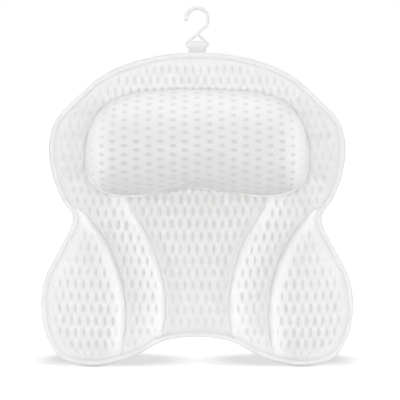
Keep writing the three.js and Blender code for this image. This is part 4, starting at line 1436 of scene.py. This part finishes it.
mesh_look = spacer_mesh("white_spacer_mesh", PALE, GREY, SHADED_PIT, PAINTED_HIGHLIGHT_WHITE)
headrest_look = spacer_mesh("white_headrest_mesh", HEADREST_SHADED_PALE, GREY, HEADREST_SHADED_PIT, PAINTED_HIGHLIGHT_WHITE)
# The back mesh's open pits carry darker painted shade
back_look = spacer_mesh("white_back_mesh", (0.82, 0.82, 0.815), GREY, (0.50, 0.50, 0.495))
tape_look = ribbed_tape("white_binding_tape", (0.86, 0.86, 0.855), GREY)
welt_look = ribbed_tape("white_welt_tape", (0.94, 0.94, 0.935), (0.84, 0.84, 0.835))
webbing_look = webbing_cloth("pale_webbing", (0.85, 0.85, 0.845), (0.66, 0.66, 0.655))
hook_look = moulded_plastic("hook_plastic", *PLASTIC, 0.56)
ring_look = moulded_plastic("eyelet_plastic", *PLASTIC, 0.4)
vinyl_look = cup_vinyl("cup_vinyl")
thread_look = ribbed_tape("sewing_thread", (0.84, 0.84, 0.835), GREY)


# Assembly

THREAD_SUNK = 0.12
SUBDIVISIONS = 2


def wear(piece, look):
    piece.data.materials.clear()
    piece.data.materials.append(look)


def finish_piece(piece, body, slot_name, look, *nodes):
    """Gives a piece its look and its body, and hides the frame's nodes that it stands for. Its
    slot_name is not used.
    """
    wear(piece, look)
    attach(piece, body)
    if nodes:
        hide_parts(*nodes)


def finish_mesh(piece, weave, rear, slot_name, look, *nodes, turned=False):
    """Presses the openings into a soft piece, closes it behind and finishes it."""
    subdivide(piece, SUBDIVISIONS)
    emboss(piece, weave, turned)
    close_behind(piece, rear)
    finish_piece(piece, "pillow", slot_name, look, *nodes)


pads = make_pads()
headrest = make_headrest()
for piece in (*pads, headrest):
    settle(piece)

for pad in pads:
    part = pad.name.removesuffix("_pad")
    nodes = f"{part}_panel", f"{part}_filling"
    finish_mesh(pad, PAD_WEAVE, PAD_BASE, "spacer_mesh", mesh_look, *nodes)

nodes = "headrest_cover", "headrest_core"
finish_mesh(
    headrest, HEADREST_WEAVE, HEADREST_SEAT, "spacer_mesh", headrest_look, *nodes, turned=True
)
finish_mesh(make_back(), BACK_WEAVE, BACK_FRONT, "back_mesh", back_look, "back_panel")

finish_piece(make_binding(), "pillow", "binding_tape", tape_look, "edge_binding")
finish_piece(make_welt(), "pillow", "binding_tape", welt_look, "headrest_welt")
finish_piece(make_webbing(), "pillow", "webbing", webbing_look, "hanging_loop")
finish_piece(make_hook(), "hook", "hook_plastic", hook_look, "hook")

thread_line = offset(outline, STITCH_INSET)
depths = (BINDING_FRONT - THREAD_SUNK, BINDING_REAR + THREAD_SUNK)
seams = merged("binding_stitches", [line_of_stitches(thread_line, depth) for depth in depths])
finish_piece(seams, "pillow", "binding_tape", thread_look)

patch_rows = []
for number, centre in enumerate(cup_places(), 1):
    cup = turned(f"clear_cup_{number}", cup_profile(), centre)
    finish_piece(cup, f"cup_{number}", "cup_vinyl", vinyl_look, f"suction_cup_{number}")
    section = rounded(EYELET_SECTION, 0.4, closed=True)
    ring = turned(f"eyelet_ring_{number}", section, centre, closed=True)
    finish_piece(ring, "pillow", "eyelet_plastic", ring_look, f"eyelet_{number}")
    patch = patch_mesh(f"sewn_patch_{number}", centre)
    finish_piece(patch, "pillow", "binding_tape", tape_look, f"cup_patch_{number}")
    stitch_line = circle(centre, PATCH_STITCH_RADIUS, 120)
    patch_rows.append(line_of_stitches(stitch_line, PATCH_STITCH_DEPTH))
    wear(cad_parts[f"eyelet_washer_{number}"], ring_look)
finish_piece(merged("patch_stitches", patch_rows), "pillow", "binding_tape", thread_look)


# Floor, world and lights

FLOOR_HALF = 12.0
# The floor's glow, taken out in spots round the lobes as a painted shadow, and where those spots lie
FLOOR_GLOW = 0.03
FLOOR_FADE = (0.45, 1.5)
FLOOR_REACH = (0.32, 0.7)
LOBE_X, LOBE_Y = 0.12, 0.028
SPOT_WIDTH, SPOT_BETWEEN, SPOT_DEPTH = 0.125, 0.17, 0.08
SKY_ABOVE, SKY_BELOW = 0.37, 0.31
SKY_FADE = (-0.25, 0.55)
LIGHT_TARGET = Vector((0, -0.03, 0.03))
# Name, degrees to the right and upwards, distance, diameter and power of each light
LIGHTS = [
    ("front_fill", 0, 3, 3.0, 1.0, 50),
    ("top_light", 0, 76, 2.2, 0.5, 11),
    ("left_key", -84, 16, 2.2, 1.0, 11),
    ("right_key", 84, 16, 2.2, 1.0, 11),
    ("back_fill", 180, 8, 3.0, 1.0, 48),
]


def floor_material():
    """White ground that glows for the camera, save in spots round the two lobes that the pillow
    stands on: there its real shadow shows, deepened by a painted shadow where the glow is taken out.
    """
    look = Look("white_floor", Roughness=0.9, Emission_Color=WHITE)
    place = look.node("SeparateXYZ", {0: look.place()})
    aside = look.math("SUBTRACT", look.math("ABSOLUTE", place["X"]), LOBE_X)
    outside = look.math("DIVIDE", aside, SPOT_WIDTH)
    between = look.math("DIVIDE", aside, -SPOT_BETWEEN)
    behind = look.math("DIVIDE", look.math("SUBTRACT", place["Y"], LOBE_Y), SPOT_DEPTH)
    painted_shadow_spot = look.node("CombineXYZ", {"X": look.math("MAXIMUM", outside, between), "Y": behind})[0]
    glow = look.span(look.length(painted_shadow_spot), *FLOOR_FADE, FLOOR_GLOW, 1.0)
    far = look.span(look.length(look.place()), *FLOOR_REACH)
    look.set(Base_Color=look.mix(far, (0.8, 0.8, 0.8), (0.4, 0.4, 0.4)))
    look.set(Emission_Strength=look.math("MULTIPLY", look.seen(), glow))
    return look.material


corners = [(-1, -1), (1, -1), (1, 1), (-1, 1)]
floor_points = [(x * FLOOR_HALF, y * FLOOR_HALF, LOWEST) for x, y in corners]
floor = new_object("studio_floor", floor_points, [(0, 1, 2, 3)], smooth=False)
wear(floor, floor_material())

world = bpy.data.worlds.new("studio")
bpy.context.scene.world = world
studio = Nodes(world)
heading = studio.node("SeparateXYZ", {0: studio.node("TexCoord")["Generated"]})["Z"]
dome = studio.span(heading, *SKY_FADE, SKY_BELOW, SKY_ABOVE)
sky, white = (
    studio.node("Background", {"Color": WHITE, "Strength": strength})[0] for strength in (dome, 1.0)
)
studio.node(
    "OutputWorld", {0: studio.node("MixShader", {0: studio.seen(), 1: sky, 2: white})[0]}
)


def direction(azimuth, elevation):
    """Unit vector from the pillow, by degrees to the right of its front and upwards."""
    a, e = math.radians(azimuth), math.radians(elevation)
    return Vector((math.sin(a) * math.cos(e), -math.cos(a) * math.cos(e), math.sin(e)))


def look_at(name, data, target, toward, distance):
    """A light or a camera that faces a target, from a distance."""
    made = bpy.data.objects.new(name, data)
    bpy.context.scene.collection.objects.link(made)
    made.location = target + toward * distance
    made.rotation_mode = "QUATERNION"
    made.rotation_quaternion = toward.to_track_quat("Z", "Y")
    return made


for name, azimuth, elevation, distance, size, watts in LIGHTS:
    lamp = bpy.data.lights.new(name, "AREA")
    lamp.shape = "DISK"
    lamp.size = size
    lamp.energy = watts
    look_at(name, lamp, LIGHT_TARGET, direction(azimuth, elevation), distance)


# Camera

IMAGE_SIZE = 400
PIXEL = 1.21
MIRROR_PIXEL = 197.2
BASE_PIXEL = 367.7
CAMERA_ELEVATION = 5.0
CAMERA_DISTANCE = 2.4
SENSOR = 36.0
CLIP = (0.05, 60.0)

camera_data = bpy.data.cameras.new("camera")
camera_data.sensor_width = SENSOR
camera_data.lens = SENSOR * CAMERA_DISTANCE / (IMAGE_SIZE * PIXEL * MM)
camera_data.clip_start, camera_data.clip_end = CLIP
aim = Vector((
    (IMAGE_SIZE / 2 - MIRROR_PIXEL) * PIXEL * MM,
    -BINDING_MIDDLE * MM,
    LOWEST + (BASE_PIXEL - IMAGE_SIZE / 2) * PIXEL * MM,
))
bpy.context.scene.camera = look_at(
    "camera", camera_data, aim, direction(0, CAMERA_ELEVATION), CAMERA_DISTANCE
)

bpy.context.scene.view_settings.view_transform = "Standard"
